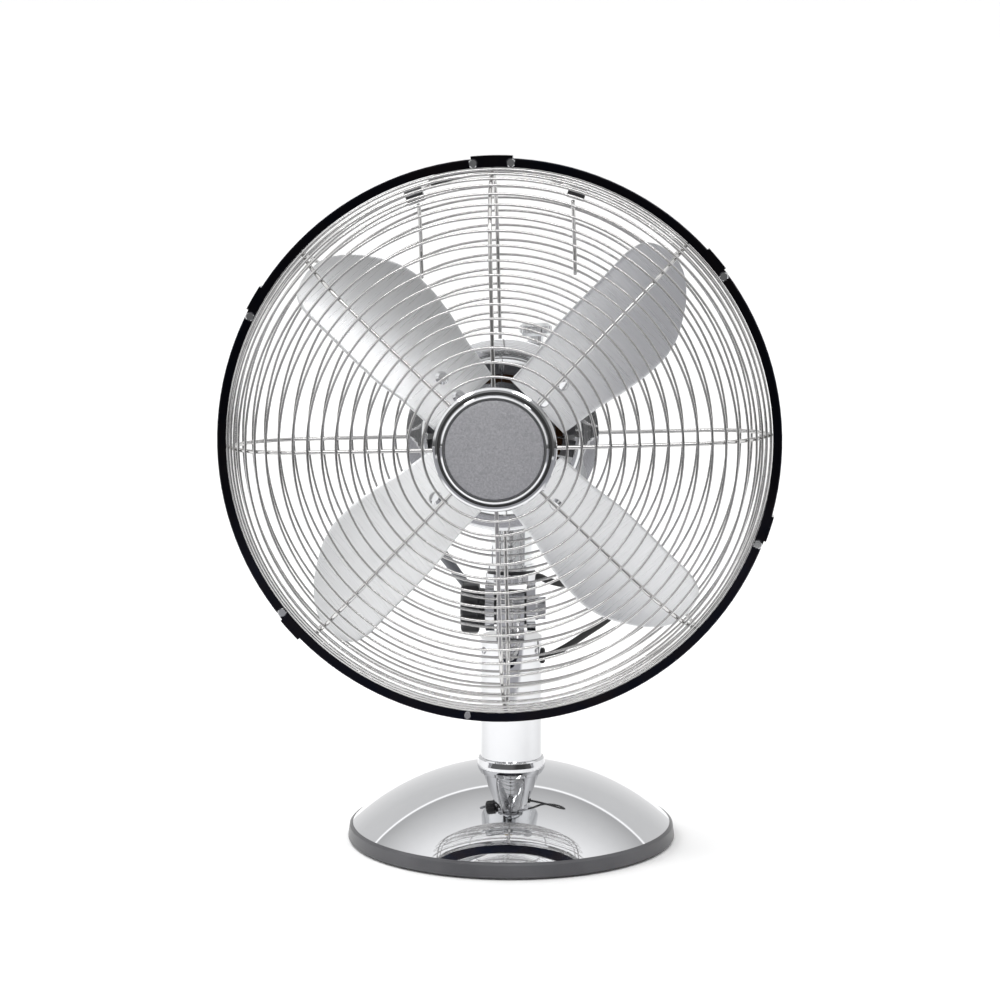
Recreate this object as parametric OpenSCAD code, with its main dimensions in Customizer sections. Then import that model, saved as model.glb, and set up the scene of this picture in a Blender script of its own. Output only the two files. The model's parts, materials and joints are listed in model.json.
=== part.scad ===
// Desk fan with a four-blade rotor in a round wire guard, on a tilting and
// oscillating neck, a tube column and a weighted domed base.
// Millimetres, +Z up. The origin is where the column axis meets the table,
// and the fan blows towards -Y.

/* [Base] */
// Outside diameter of the moulded ring at the edge of the base, mm.
base_d = 203; // [168:1:245]
// Height of the top of the moulded ring above the table, mm.
base_ring_h = 10.5; // [9:0.5:14]
// Rise of the domed shell above the ring, mm.
dome_rise = 37; // [30:1:46]
// Sheet thickness of the domed shell, mm.
dome_wall = 1.2; // [0.8:0.1:2]

/* [Column] */
// Outside diameter of the column tube, mm.
column_d = 38; // [32:1:46]
// Height of the top of the column tube above the table, mm.
column_top = 125; // [104:1:150]
// Wall thickness of the column tube, mm.
column_wall = 1.2; // [0.9:0.1:2]

/* [Neck] */
// Height of the tilt bolt above the top of the column tube, mm.
pivot_rise = 21; // [19:1:26]
// Upward tilt of the head as it stands, degrees.
rest_tilt = 6; // [-4:0.5:10]
// Width of the slot between the two yoke cheeks, mm.
yoke_gap = 20; // [18:0.5:24]
// Thickness of each yoke cheek, mm.
cheek_t = 5.5; // [4.5:0.5:7]
// Diameter of the tilt bolt, mm.
tilt_bolt_d = 8; // [6:0.5:9]
// Diameter of the fluted tilt-lock knob, mm.
knob_d = 32; // [26:1:39]
// Length of the tilt-lock knob along the bolt, mm.
knob_len = 15; // [12:1:18]
// Diameter of the post the head swings on, mm.
post_d = 15; // [12:0.5:17]

/* [Motor] */
// Height of the motor shaft above the tilt bolt, measured along the neck, mm.
axle_rise = 110.5; // [103:0.5:133]
// Sideways offset of the motor shaft from the neck axis, mm.
shaft_off = -4; // [-5:0.5:0]
// Outside diameter of the motor housing, mm.
motor_d = 110; // [94:1:132]
// Distance of the motor nose in front of the neck axis, mm.
nose_f = 58; // [52:1:66]
// Distance of the rear cover's tip behind the neck axis, mm.
tail_f = 62; // [54:1:75]
// Diameter of the motor shaft, mm.
shaft_d = 8; // [6:0.5:9]
// Number of ventilation slots round the motor nose.
vent_count = 20; // [12:1:24]

/* [Guard] */
// Outside diameter of the rim band, mm.
rim_d = 338; // [330:1:410]
// Distance of the rim's middle plane in front of the neck axis, mm.
rim_f = 85; // [80:1:92]
// Depth of the front guard at its rounded corner, mm.
front_depth = 53; // [46:1:64]
// Depth of the rear guard at its rounded corner, mm.
rear_depth = 43; // [38:1:46]
// Inward lean of the guard walls, degrees.
wall_lean = 17.8; // [12:0.1:22]
// Diameter of the guard spokes, mm.
spoke_d = 2.5; // [2:0.1:3]
// Diameter of the guard ring wires, mm.
ring_d = 1.6; // [1.3:0.1:2]
// Number of rings on the front guard.
front_rings = 18; // [12:1:20]
// Number of rings on the rear guard.
rear_rings = 14; // [10:1:16]
// Turn of the guard about the shaft as it was fitted, degrees.
guard_roll = 1.7; // [0:0.1:4]
// Diameter of the round badge in the middle of the front guard, mm.
badge_d = 73.4; // [62:0.2:84]

/* [Blades] */
// Reach of a blade tip from the shaft axis, mm.
blade_reach = 152; // [127:1:153]
// Blade pitch at its inner end, degrees.
pitch_root = 31; // [24:1:36]
// Blade pitch at its tip, degrees.
pitch_tip = 19; // [14:1:24]
// Thickness of the blade sheet, mm.
blade_t = 1.2; // [0.9:0.1:1.6]
// Distance of the rotor's middle plane in front of the neck axis, mm.
blade_f = 93; // [90:1:98]

/* [Handle] */
// Half the distance between the two handle sleeves, mm.
handle_x = 49; // [41:1:58]
// Distance the handle stands behind its sleeves, mm.
handle_back = 28; // [23:1:34]
// Diameter of the handle wire, mm.
handle_wire = 4; // [3:0.1:5]

/* [Lead] */
// Diameter of the motor lead, mm.
lead_d = 4.2; // [3.5:0.1:5]

/* [Fits] */
// Radial clearance of every turning or sliding fit, mm.
run_fit = 0.05; // [0.02:0.01:0.09]
// Depth by which welded wires sink into each other, mm.
weld_sink = 0.06; // [0.02:0.01:0.1]

/* [Hidden] */
$fn = 72;
eps = 0.01;
base_r = base_d / 2;
foot_h = 3;
rebate = 0.6;
gland_r = 3.6;
gland_z = 6.2;
flange_t = 2;
plate_t = 1.5;
plate_z = foot_h + flange_t;
dome_edge_r = base_r - 3;
dome_r = (dome_edge_r * dome_edge_r + dome_rise * dome_rise) / (2 * dome_rise);
dome_top = base_ring_h + dome_rise;
dome_cz = dome_top - dome_r;
weight_h = 16;
weight_r = dome_edge_r - 15;
weight_top = plate_z + plate_t + weight_h;
screw_r = weight_r - 5;
rod_r = 6;
rod_bore = 4;
rod_top = dome_top + 16;
rod_nut_top = dome_cz + sqrt(pow(dome_r - dome_wall, 2) - pow(10.5, 2)) - eps;
column_r = column_d / 2;
column_in = column_r - column_wall;
column_foot = dome_cz + sqrt(dome_r * dome_r - column_r * column_r);
plug_z = dome_top + 4;
switch_r = dome_edge_r * 0.62;
switch_tilt = asin(switch_r / dome_r);
pivot_z = column_top + pivot_rise;
head_flange_t = 3;
tongue_r = pivot_rise - head_flange_t - 6;
washer_t = 1.45;
tongue_w = yoke_gap - 2 * washer_t;
yoke_w = yoke_gap + 2 * cheek_t;
cheek_r = pivot_rise - head_flange_t - 3.5;
yoke_top = 22;
yoke_plate_t = 5;
washer_top = yoke_top + 2;
neck_flange_t = 3.5;
neck_r = post_d / 2 + 5.5;
bolt_r = tilt_bolt_d / 2;
knob_x = -yoke_w / 2 - 0.4;
motor_r = motor_d / 2;
shell_t = 1.6;
band_half = 13;
neck_top = axle_rise - motor_r + 4.2;
post_top = neck_top + 3.2;
clip_t = 1.2;
shaft_r = shaft_d / 2;
bush_r = shaft_r + 4;
tail_shaft_r = shaft_r * 0.6;
plate_back = -6;
plate_front = -3;
post_ring_r = motor_r - 14;
stator_back = 6;
stator_front = 34;
stator_r = motor_r - 9;
rotor_r = motor_r * 0.455;
shaft_tip = blade_f + 25;
hub_front = blade_f + 12;
rim_r = rim_d / 2;
band_t = 0.8;
band_w = 6;
rim_wire = 4.4;
rim_wire_r = rim_r - band_t - rim_wire / 2 - eps;
rim_wire_off = rim_wire / 2 + 0.15;
wire_r0 = rim_wire_r - rim_wire / 2 - spoke_d / 2 - eps;
hub_plate_t = 1.4;
hub_out = motor_r + 3.5;
nose_r = motor_r - 6.5;
hub_in = nose_r + 0.3;
badge_r = badge_d / 2;
wheel_r = 13.9;
worm_r = 3.4;
knob_off = wheel_r + worm_r + 0.1;
knob_f = -24;
wheel_teeth = 36;
cap_r = 10;
knob_top = motor_r + 9.5;
pi = 3.14159265;

// A guard outline: start radius, depth, wall lean, corner radius, face dome angle.
front_line = [wire_r0, front_depth, wall_lean, 48 * front_depth / 53, 5];
rear_line = [wire_r0, rear_depth, wall_lean, 38 * rear_depth / 43, 1];
shoulder_f = rim_f - face_d(rear_line, hub_out) + spoke_d / 2 + eps;

// ---- guard outline ----
function corner_len(w) = w[3] * tan((90 - w[2] - w[4]) / 2);
function wall_len(w) = w[1] / cos(w[2]) - corner_len(w);
function turn_len(w) = w[3] * (90 - w[2] - w[4]) * pi / 180;
function corner_c(w) = [
    w[0] - wall_len(w) * sin(w[2]) - w[3] * cos(w[2]),
    wall_len(w) * cos(w[2]) - w[3] * sin(w[2])];
function face_r0(w) = corner_c(w)[0] + w[3] * sin(w[4]);
function face_big(w) = face_r0(w) / sin(w[4]);
function face_c(w) = corner_c(w)[1] + (w[3] - face_big(w)) * cos(w[4]);
function face_d(w, r) = face_c(w) + sqrt(face_big(w) * face_big(w) - r * r);
function face_s(w, r) = wall_len(w) + turn_len(w)
    + face_big(w) * (w[4] - asin(r / face_big(w))) * pi / 180;

// Radius, depth and outward angle of the outline at the length s along it.
function outline(w, s) =
    s < wall_len(w) ? [w[0] - s * sin(w[2]), s * cos(w[2]), w[2]]
    : s < wall_len(w) + turn_len(w)
        ? let (a = w[2] + (s - wall_len(w)) / w[3] * 180 / pi)
            [corner_c(w)[0] + w[3] * cos(a), corner_c(w)[1] + w[3] * sin(a), a]
        : let (p = w[4] - (s - wall_len(w) - turn_len(w)) / face_big(w) * 180 / pi)
            [face_big(w) * sin(p), face_c(w) + face_big(w) * cos(p), 90 - p];

// ---- placing ----
// Children drawn with z up from the tilt bolt.
module neck() translate([0, 0, pivot_z]) rotate([-rest_tilt, 0, 0]) children();

// Children drawn round the shaft: x right, y up, z forward from the neck axis.
module fan() neck() translate([shaft_off, 0, axle_rise]) rotate([90, 0, 0]) children();

// Children drawn round the shaft with z forward from the rim's middle plane.
module front_side() fan() translate([0, 0, rim_f]) rotate([0, 0, guard_roll]) children();

// The same, with z backward from the rim's middle plane.
module rear_side() front_side() rotate([180, 0, 0]) children();

module along_x() rotate([0, 90, 0]) children();

module ring(ri, ro, z0, z1) {
    translate([0, 0, z0])
        difference() {
            cylinder(r = ro, h = z1 - z0);
            translate([0, 0, -1]) cylinder(r = ri, h = z1 - z0 + 2);
        }
}

module round_about(count, r) {
    for (i = [0:count - 1])
        rotate([0, 0, i * 360 / count]) translate([r, 0, 0]) children();
}

// A pan-head screw pointing up, with the underside of its head at z = 0.
module screw(r, len, head_r, head_h) {
    difference() {
        union() {
            translate([0, 0, -head_h / 2]) cylinder(r = r, h = len + head_h / 2);
            translate([0, 0, -head_h]) cylinder(r1 = head_r * 0.8, r2 = head_r, h = head_h);
        }
        translate([-head_r, -0.5, -head_h - 1]) cube([2 * head_r, 1, 1.7]);
    }
}

// ---- base ----
module base_ring() color([0.24, 0.24, 0.26])
    difference() {
        rotate_extrude($fn = 144)
            polygon([
                [screw_r - 6, foot_h], [base_r - 8, foot_h], [base_r - 7, 1], [base_r - 1, 1],
                [base_r, 2], [base_r - 1, base_ring_h - 1.4], [base_r - 2, base_ring_h - 0.4],
                [base_r - 2.6, base_ring_h], [dome_edge_r + 0.05, base_ring_h],
                [dome_edge_r + 0.05, base_ring_h - rebate], [dome_edge_r - dome_wall - 1.2, base_ring_h - rebate],
                [dome_edge_r - dome_wall - 1.8, plate_z], [screw_r - 6, plate_z]]);
        round_about(4, screw_r) translate([0, 0, foot_h - 1]) cylinder(r = 2.3, h = 4);
        at_gland() translate([0, 0, -12]) cylinder(r = gland_r, h = 20);
    }

module foot_ring() color([0.08, 0.08, 0.08]) ring(base_r - 16, base_r - 9, 0, foot_h);

module base_plate() color([0.7, 0.7, 0.72])
    difference() {
        ring(rod_r + run_fit, dome_edge_r - 6, plate_z, plate_z + plate_t);
        round_about(4, screw_r) translate([0, 0, plate_z - 1]) cylinder(r = 2.1, h = 4);
    }

module base_weight() color([0.2, 0.2, 0.2])
    difference() {
        rotate_extrude($fn = 96)
            polygon([
                [rod_r + 6, plate_z + plate_t], [weight_r, plate_z + plate_t],
                [weight_r, weight_top - 8], [weight_r - 14, weight_top], [rod_r + 6, weight_top]]);
        round_about(4, screw_r) translate([0, 0, plate_z]) cylinder(r = 2, h = 9);
        translate([0, switch_r, plate_z + plate_t - 1]) cylinder(r = 21, h = weight_h + 2);
    }

module base_screws()
    difference() {
        round_about(4, screw_r)
            translate([0, 0, foot_h]) screw(2, 11, 3.8, 2.2);
        translate([0, 0, -1]) cylinder(r = 1, h = 1);
    }

module base_dome() color([0.85, 0.86, 0.88])
    difference() {
        rotate_extrude($fn = 180)
            difference() {
                intersection() {
                    translate([0, dome_cz]) circle(r = dome_r, $fn = 360);
                    translate([0, base_ring_h - rebate]) square([dome_edge_r, dome_rise + 2]);
                }
                translate([0, dome_cz]) circle(r = dome_r - dome_wall, $fn = 360);
            }
        translate([0, 0, dome_top - 10]) cylinder(r = rod_r + 0.3, h = 12);
        on_dome() translate([0, 0, -8]) cylinder(r = 9.5, h = 16);
    }

// Children drawn with z out of the dome, at the switch behind the column.
module on_dome() translate([0, 0, dome_cz]) rotate([-switch_tilt, 0, 0]) translate([0, 0, dome_r]) children();

module centre_rod() color([0.75, 0.72, 0.5]) ring(rod_bore, rod_r, foot_h - 1, rod_top);

module rod_nuts() {
    difference() {
        translate([0, 0, 1]) cylinder(r = 10.5, h = plate_z - 1, $fn = 6);
        cylinder(r = rod_r, h = plate_z + 1);
    }
    difference() {
        translate([0, 0, rod_nut_top - 5]) cylinder(r = 10.5, h = 5, $fn = 6);
        cylinder(r = rod_r, h = dome_top);
    }
}

module column_plug()
    difference() {
        translate([0, 0, plug_z]) cylinder(r = column_in - 0.02, h = 11);
        translate([0, 0, plug_z - 1]) cylinder(r = rod_r, h = 13);
        round_about(3, column_in * 0.68) translate([0, 0, plug_z - 1]) cylinder(r = 2.4, h = 13);
    }

module column_collar() color([0.85, 0.86, 0.88])
    difference() {
        rotate_extrude($fn = 96)
            polygon([
                [column_r + 0.02, column_foot - 1], [column_r + 2.1, column_foot - 1],
                [column_r + 2, column_foot + 1.8], [column_r + 1.5, column_foot + 5],
                [column_r + 1, column_foot + 5.8], [column_r + 0.02, column_foot + 6.2]]);
        translate([0, 0, dome_cz]) sphere(r = dome_r + eps, $fn = 180);
    }

module column_tube() color([0.87, 0.88, 0.9])
    difference() {
        ring(column_in, column_r, dome_top, column_top);
        lead_hole();
        for (a = [-60, 60]) rotate([0, 0, a - 90])
            translate([column_r - 4, 0, column_top - 4]) along_x() cylinder(r = 1.3, h = 8);
        rotate([0, 0, -78]) translate([column_r - 4, 0, column_top - 24]) along_x() cylinder(r = 1.3, h = 8);
    }

// The side hole the motor lead leaves the column by.
module lead_hole() translate([0, 0, lead_exit_z]) along_x() cylinder(r = lead_d / 2 + 2, h = column_r + 4);

module column_head() color([0.8, 0.81, 0.83])
    difference() {
        union() {
            translate([0, 0, column_top]) cylinder(r = column_r, h = head_flange_t);
            ring(column_in - 5, column_in - 0.02, column_top - 7, column_top + eps);
            ring(column_in - 3, column_in - 0.02, column_top - 28, column_top - 6.9);
            translate([0, 0, pivot_z]) along_x()
                translate([0, 0, -tongue_w / 2]) cylinder(r = tongue_r, h = tongue_w);
            translate([-tongue_w / 2, -tongue_r, column_top + 1])
                cube([tongue_w, 2 * tongue_r, pivot_rise - 1]);
        }
        translate([0, 0, pivot_z]) along_x()
            translate([0, 0, -tongue_w]) cylinder(r = bolt_r + run_fit, h = 2 * tongue_w);
        lead_hole();
        for (a = [-60, 60]) rotate([0, 0, a - 90])
            translate([column_in - 8, 0, column_top - 4]) along_x() cylinder(r = 1.2, h = 8);
        rotate([0, 0, -78]) translate([column_in - 8, 0, column_top - 24]) along_x() cylinder(r = 1.2, h = 8);
    }

module column_screws() {
    for (a = [-60, 60]) rotate([0, 0, a - 90])
        translate([column_r, 0, column_top - 4]) rotate([0, -90, 0]) screw(1.2, 5, 2.2, 0.9);
    rotate([0, 0, -78])
        translate([column_r, 0, column_top - 24]) rotate([0, -90, 0]) screw(1.2, 3.6, 2.2, 0.9);
}

// ---- switch and inlet ----
module switch_body() color([0.12, 0.12, 0.13]) on_dome()
    difference() {
        union() {
            translate([-14, -14, -17]) cube([28, 28, 13]);
            translate([0, 0, -5]) cylinder(r = 9, h = 4.5);
        }
        translate([0, 0, -12]) cylinder(r = 3 + run_fit, h = 20);
    }

module speed_knob() color([0.09, 0.09, 0.1]) on_dome() {
    difference() {
        union() {
            translate([0, 0, -11]) cylinder(r = 3, h = 13);
            translate([0, 0, 1.9]) cylinder(r1 = 11, r2 = 10.2, h = 5);
            translate([0, 0, 6.8]) cylinder(r1 = 10.2, r2 = 9, h = 1);
            translate([-2.6, -9, 7]) cube([5.2, 18, 6]);
        }
        round_about(12, 12.2) translate([0, 0, 1]) cylinder(r = 2.2, h = 9);
        translate([-0.5, 3, 12.4]) cube([1, 8, 2]);
    }
}

// Children drawn with z out of the back of the base ring.
module at_gland() translate([0, base_r, gland_z]) rotate([-90, 0, 0]) children();

module cord_gland() color([0.1, 0.1, 0.1]) at_gland()
    difference() {
        union() {
            translate([0, 0, -8.2]) cylinder(r = gland_r, h = 9);
            translate([0, 0, 0.05]) cylinder(r = gland_r + 1, h = 1.5);
            translate([0, 0, 1.5]) cylinder(r1 = gland_r + 0.2, r2 = gland_r - 0.5, h = 11);
        }
        translate([0, 0, -9]) cylinder(r = 2.5, h = 40);
        for (i = [0:3]) translate([0, 0, 3 + i * 2.4]) ring(gland_r - 0.7, 8, 0, 0.9);
    }
lead_exit_z = column_top - 9;

module stand_screws() color([0.75, 0.75, 0.77]) {
    base_screws();
    column_screws();
}

module rod_fittings() color([0.75, 0.75, 0.77]) {
    rod_nuts();
    column_plug();
}

// ---- motor lead ----
// Points along the lead, from inside the column, out to the right and up to the yoke.
lead_up = yoke_top - yoke_plate_t / 2;
lead_y = lead_up * sin(rest_tilt);
lead_z = pivot_z + lead_up * cos(rest_tilt);
lead_points = [
    [0, 0, lead_exit_z - 42], [0, 0, lead_exit_z - 24], [0.5, 0, lead_exit_z - 12],
    [4, 0, lead_exit_z - 3.5], [column_in - 5, 0, lead_exit_z], [column_r + 3, 0, lead_exit_z],
    [column_r + 13, 2, lead_exit_z + 4], [column_r + 28, 7, lead_exit_z + 13],
    [column_r + 42, 13, lead_exit_z + 22], [column_r + 50, 21, lead_exit_z + 31],
    [column_r + 46, 29, lead_exit_z + 38], [column_r + 34, 29, lead_exit_z + 41],
    [column_r + 21, 21, lead_exit_z + 41], [column_r + 12, 11, lead_exit_z + 43],
    [yoke_w / 2 + 7, lead_y + 3, lead_z - 3], [yoke_w / 2 + 1.5, lead_y, lead_z],
    [yoke_w / 2 - 6, lead_y, lead_z]];
function spline(p, i, t) = let (
        a = p[max(i - 1, 0)], b = p[i], c = p[i + 1], d = p[min(i + 2, len(p) - 1)])
    0.5 * (2 * b + (c - a) * t + (2 * a - 5 * b + 4 * c - d) * t * t
        + (3 * b - a - 3 * c + d) * t * t * t);
lead_path = [
    for (i = [0:len(lead_points) - 2]) for (t = [0, 0.5]) spline(lead_points, i, t),
    lead_points[len(lead_points) - 1]];
function unit(v) = v / norm(v);
function along(p, i) = unit(p[min(i + 1, len(p) - 1)] - p[max(i - 1, 0)]);

// A round tube along the points p. The direction level is never along the tube.
module tube(p, r, sides, level) {
    verts = [for (i = [0:len(p) - 1]) let (u = unit(cross(along(p, i), level)), v = cross(along(p, i), u))
        for (k = [0:sides - 1]) p[i] + r * (cos(k * 360 / sides) * u + sin(k * 360 / sides) * v)];
    last = (len(p) - 1) * sides;
    walls = [for (i = [0:len(p) - 2]) for (k = [0:sides - 1]) let (
            a = i * sides + k, b = i * sides + (k + 1) % sides)
        for (f = [[a, b, b + sides], [a, b + sides, a + sides]]) f];
    ends = [
        [for (k = [sides - 1:-1:0]) k],
        [for (k = [0:sides - 1]) last + k]];
    polyhedron(points = verts, faces = [for (f = concat(walls, ends)) [for (k = [len(f) - 1:-1:0]) f[k]]]);
}

module motor_lead() color([0.06, 0.06, 0.06]) tube(lead_path, lead_d / 2, 10, [0.1, -1, 0.15]);

module lead_grommets() color([0.07, 0.07, 0.07])
    difference() {
        union() {
            intersection() {
                translate([0, 0, lead_exit_z]) along_x() cylinder(r = lead_d / 2 + 1.98, h = column_r + 2);
                translate([0, 0, lead_exit_z - 10]) ring(column_in - 5, column_r + 2, 0, 20);
            }
            translate([0, 0, lead_exit_z]) along_x()
                translate([0, 0, column_r + 0.02]) cylinder(r = lead_d / 2 + 2.8, h = 1.4);
        }
        translate([0, 0, lead_exit_z]) along_x() cylinder(r = lead_d / 2 + 0.5, h = 60);
    }

// ---- neck ----
module tilt_yoke() color([0.82, 0.83, 0.85]) neck()
    difference() {
        union() {
            intersection() {
                translate([0, 0, yoke_top - yoke_plate_t - 1.6])
                    cylinder(r = yoke_w / 2 + 1.2, h = yoke_plate_t + 1.6);
                translate([-yoke_w / 2, -yoke_w, 0]) cube([yoke_w, 2 * yoke_w, yoke_top]);
            }
            for (x = [-yoke_w / 2, yoke_gap / 2]) translate([x, 0, 0]) {
                along_x() cylinder(r = cheek_r, h = cheek_t);
                translate([0, -cheek_r, 0]) cube([cheek_t, 2 * cheek_r, yoke_top - yoke_plate_t]);
            }
        }
        translate([-yoke_gap / 2, -yoke_w, -yoke_w])
            cube([yoke_gap, 2 * yoke_w, yoke_w + yoke_top - yoke_plate_t]);
        along_x() translate([0, 0, -yoke_w]) cylinder(r = bolt_r + 0.02, h = 2 * yoke_w);
        translate([0, 0, yoke_top - 9]) cylinder(r = post_d / 2 - 2 + 0.01, h = 12);
        translate([0, 0, yoke_top - yoke_plate_t / 2]) along_x()
            cylinder(r = lead_d / 2 + 1.01, h = yoke_w);
    }

module tilt_bolt() color([0.7, 0.7, 0.72]) neck() along_x()
    difference() {
        translate([0, 0, knob_x - knob_len + 3]) cylinder(r = bolt_r, h = yoke_w / 2 - knob_x + knob_len + 1);
        translate([0, 0, knob_x - knob_len]) cylinder(r = 1.2, h = 5);
    }

module tilt_washers() neck() along_x()
    for (z = [-yoke_gap / 2 + 0.03, tongue_w / 2 + 0.03])
        ring(bolt_r + 0.04, tongue_r - 1.5, z, z + washer_t - 0.06);

module tilt_nut() neck() along_x()
    difference() {
        union() {
            translate([0, 0, yoke_w / 2 + 0.01]) cylinder(r = bolt_r + 3.6, h = 1.2);
            translate([0, 0, yoke_w / 2 + 1.2]) cylinder(r = bolt_r + 3, h = 4.6, $fn = 6);
        }
        cylinder(r = bolt_r, h = yoke_w);
    }

module pivot_post() color([0.7, 0.7, 0.72]) neck()
    difference() {
        union() {
            translate([0, 0, yoke_top - yoke_plate_t - 1]) cylinder(r = post_d / 2 - 2, h = yoke_plate_t + 1 + eps);
            translate([0, 0, yoke_top]) cylinder(r = post_d / 2, h = post_top - yoke_top);
        }
        translate([0, 0, yoke_top - yoke_plate_t - 2]) cylinder(r = post_d / 2 - 4, h = post_top);
        translate([0, 0, post_top - 2.6]) ring(post_d / 2 - 0.7, post_d, 0, 1.2);
    }

module thrust_washer() neck()
    ring(post_d / 2 + 0.02, neck_r + 1.8, yoke_top, washer_top);

module tilt_knob() color([0.08, 0.08, 0.08]) neck() along_x()
    difference() {
        union() {
            translate([0, 0, knob_x - knob_len]) cylinder(r1 = knob_d / 2 - 2, r2 = knob_d / 2, h = 2.1);
            translate([0, 0, knob_x - knob_len + 2]) cylinder(r = knob_d / 2, h = knob_len - 5.5);
            translate([0, 0, knob_x - 3.6]) cylinder(r = knob_d / 2 - 4, h = 3.6);
        }
        translate([0, 0, knob_x - knob_len + 2.5]) cylinder(r = bolt_r + run_fit, h = knob_len);
        round_about(10, knob_d / 2 + 1.6) translate([0, 0, knob_x - knob_len - 1]) cylinder(r = 3.4, h = knob_len);
        translate([0, 0, knob_x - knob_len - 1]) cylinder(r = knob_d / 2 - 6, h = 1.8);
        rotate([0, -90, 0]) lever_bar();
    }

// The lever drawn from the tilt bolt, with its foot in the rim of the knob.
module lever_bar()
    translate([knob_x - knob_len / 2, knob_d / 2 - 4.2, 6]) rotate([-6, -38, 0]) {
        cylinder(r1 = 2.6, r2 = 3.4, h = 33);
        translate([0, 0, 33]) sphere(r = 3.4);
    }

module knob_lever() color([0.45, 0.46, 0.48]) neck() lever_bar();

module neck_washers() color([0.13, 0.13, 0.14]) {
    tilt_washers();
    thrust_washer();
}

module neck_fasteners() color([0.7, 0.7, 0.72]) {
    tilt_nut();
    post_clip();
}

// ---- motor ----
module motor_cradle() color([0.8, 0.81, 0.83])
    difference() {
        union() {
            fan() ring(motor_r - 2.4, motor_r, -band_half, band_half);
            fan() difference() {
                translate([0, 0, plate_back]) cylinder(r = motor_r - 2.3, h = plate_front - plate_back);
                round_about(4, motor_r * 0.5) translate([0, 0, plate_back - 1]) cylinder(r = 11, h = 8);
            }
            fan() translate([0, 0, plate_back - 2]) cylinder(r = bush_r + 2.5, h = 7);
            fan() rotate([0, 0, 45]) round_about(4, post_ring_r)
                translate([0, 0, plate_front - eps]) cylinder(r = 4, h = stator_back - plate_front + eps);
            neck() translate([0, 0, washer_top]) cylinder(r = neck_r + 1.8, h = neck_flange_t);
            neck() translate([0, 0, washer_top]) cylinder(r = neck_r, h = neck_top - washer_top);
        }
        neck() translate([0, 0, washer_top - 1]) cylinder(r = post_d / 2 + run_fit, h = neck_top);
        neck() translate([0, 0, neck_top]) cylinder(r = post_d / 2 + 3.4, h = 6);
        fan() translate([0, 0, plate_back - 9]) cylinder(r = bush_r, h = 40);
        fan() rotate([0, 0, 45]) round_about(4, post_ring_r)
            translate([0, 0, plate_back - 1]) cylinder(r = 2, h = 30);
    }

module post_clip() neck()
    difference() {
        ring(post_d / 2 - 0.66, post_d / 2 + 2.4, post_top - 2.55, post_top - 1.45);
        translate([-2, 0, post_top - 4]) cube([4, post_d, 6]);
    }

module front_shell() color([0.86, 0.87, 0.89]) fan()
    difference() {
        union() {
            rotate_extrude($fn = 144)
                polygon([
                    [motor_r - shell_t, band_half], [motor_r, band_half],
                    [motor_r, shoulder_f - 6], [motor_r - 1.2, shoulder_f - 2.6], [motor_r - 3, shoulder_f],
                    [nose_r, shoulder_f], [nose_r, nose_f - 4], [nose_r - 1.4, nose_f - 1.2],
                    [nose_r - 4, nose_f], [0, nose_f], [0, nose_f - shell_t],
                    [nose_r - 4.6, nose_f - shell_t], [nose_r - shell_t, nose_f - 4.6],
                    [nose_r - shell_t, shoulder_f - shell_t], [motor_r - 3.7, shoulder_f - shell_t],
                    [motor_r - shell_t, shoulder_f - 6.4]]);
            translate([0, 0, nose_f - 9]) cylinder(r = bush_r + 2.5, h = 9 - shell_t / 2);
            rotate([0, 0, 45]) round_about(4, nose_r + 2.6)
                translate([0, 0, shoulder_f - 8]) cylinder(r = 3.1, h = 8 - shell_t / 2);
        }
        translate([0, 0, nose_f - 10]) cylinder(r = bush_r, h = 12);
        rotate([0, 0, 45]) round_about(4, nose_r + 2.6)
            translate([0, 0, shoulder_f - 7]) cylinder(r = 1.3, h = 8);
        round_about(vent_count, 0) rotate([0, 0, 180 / vent_count])
            translate([nose_r * 0.68, -nose_r * 0.105 * 20 / vent_count, nose_f - 4])
                cube([nose_r * 0.245, nose_r * 0.21 * 20 / vent_count, 8]);
    }

// Radius of the bullet-shaped rear cover at the distance z behind its front edge.
function bullet(z, r, len) = r * pow(max(0, 1 - pow(z / len, 2.3)), 0.5);

module rear_cover() color([0.86, 0.87, 0.89]) fan()
    difference() {
        rotate([180, 0, 0])
            rotate_extrude($fn = 144)
                polygon(concat(
                    [for (i = [0:14]) let (t = sin(i * 90 / 14), z = t * (tail_f - band_half))
                        [i == 14 ? 0 : bullet(z, motor_r, tail_f - band_half), band_half + z]],
                    [for (i = [14:-1:0]) let (t = sin(i * 90 / 14), z = t * (tail_f - band_half - shell_t))
                        [i == 14 ? 0 : bullet(z, motor_r - shell_t, tail_f - band_half - shell_t), band_half + z]]));
        translate([0, 0, -tail_f - 1]) cylinder(r = 2.3, h = 8);
        round_about(16, motor_r * 0.52)
            translate([-motor_r * 0.13, -1.6, -tail_f - 2]) cube([motor_r * 0.26, 3.2, 26]);
        translate([knob_off, 0, knob_f]) rotate([-90, 0, 0]) cylinder(r = 5 + 0.09, h = motor_r + 9);
    }

module cover_screw() fan()
    translate([0, 0, -tail_f]) screw(2, tail_f - 42 + 2, 4.4, 2);

module stator_core() color([0.4, 0.4, 0.42]) fan()
    difference() {
        ring(rotor_r + 0.5, stator_r, stator_back, stator_front);
        round_about(12, rotor_r + 3.4) translate([0, 0, 0]) cylinder(r = 2.4, h = 60);
        rotate([0, 0, 45]) round_about(4, post_ring_r) cylinder(r = 2.1, h = 60);
    }

module stator_windings() color([0.72, 0.4, 0.18]) fan()
    for (z = [stator_back - 3.5, stator_front])
        translate([0, 0, z + 3]) rotate_extrude()
            polygon([
                [rotor_r + 2.5, -3], [post_ring_r - 5, -3], [post_ring_r - 4.4, -1.5],
                [post_ring_r - 4.6, 0.3], [rotor_r + 3.4, 0.5], [rotor_r + 2.2, -1.4]]);

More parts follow.
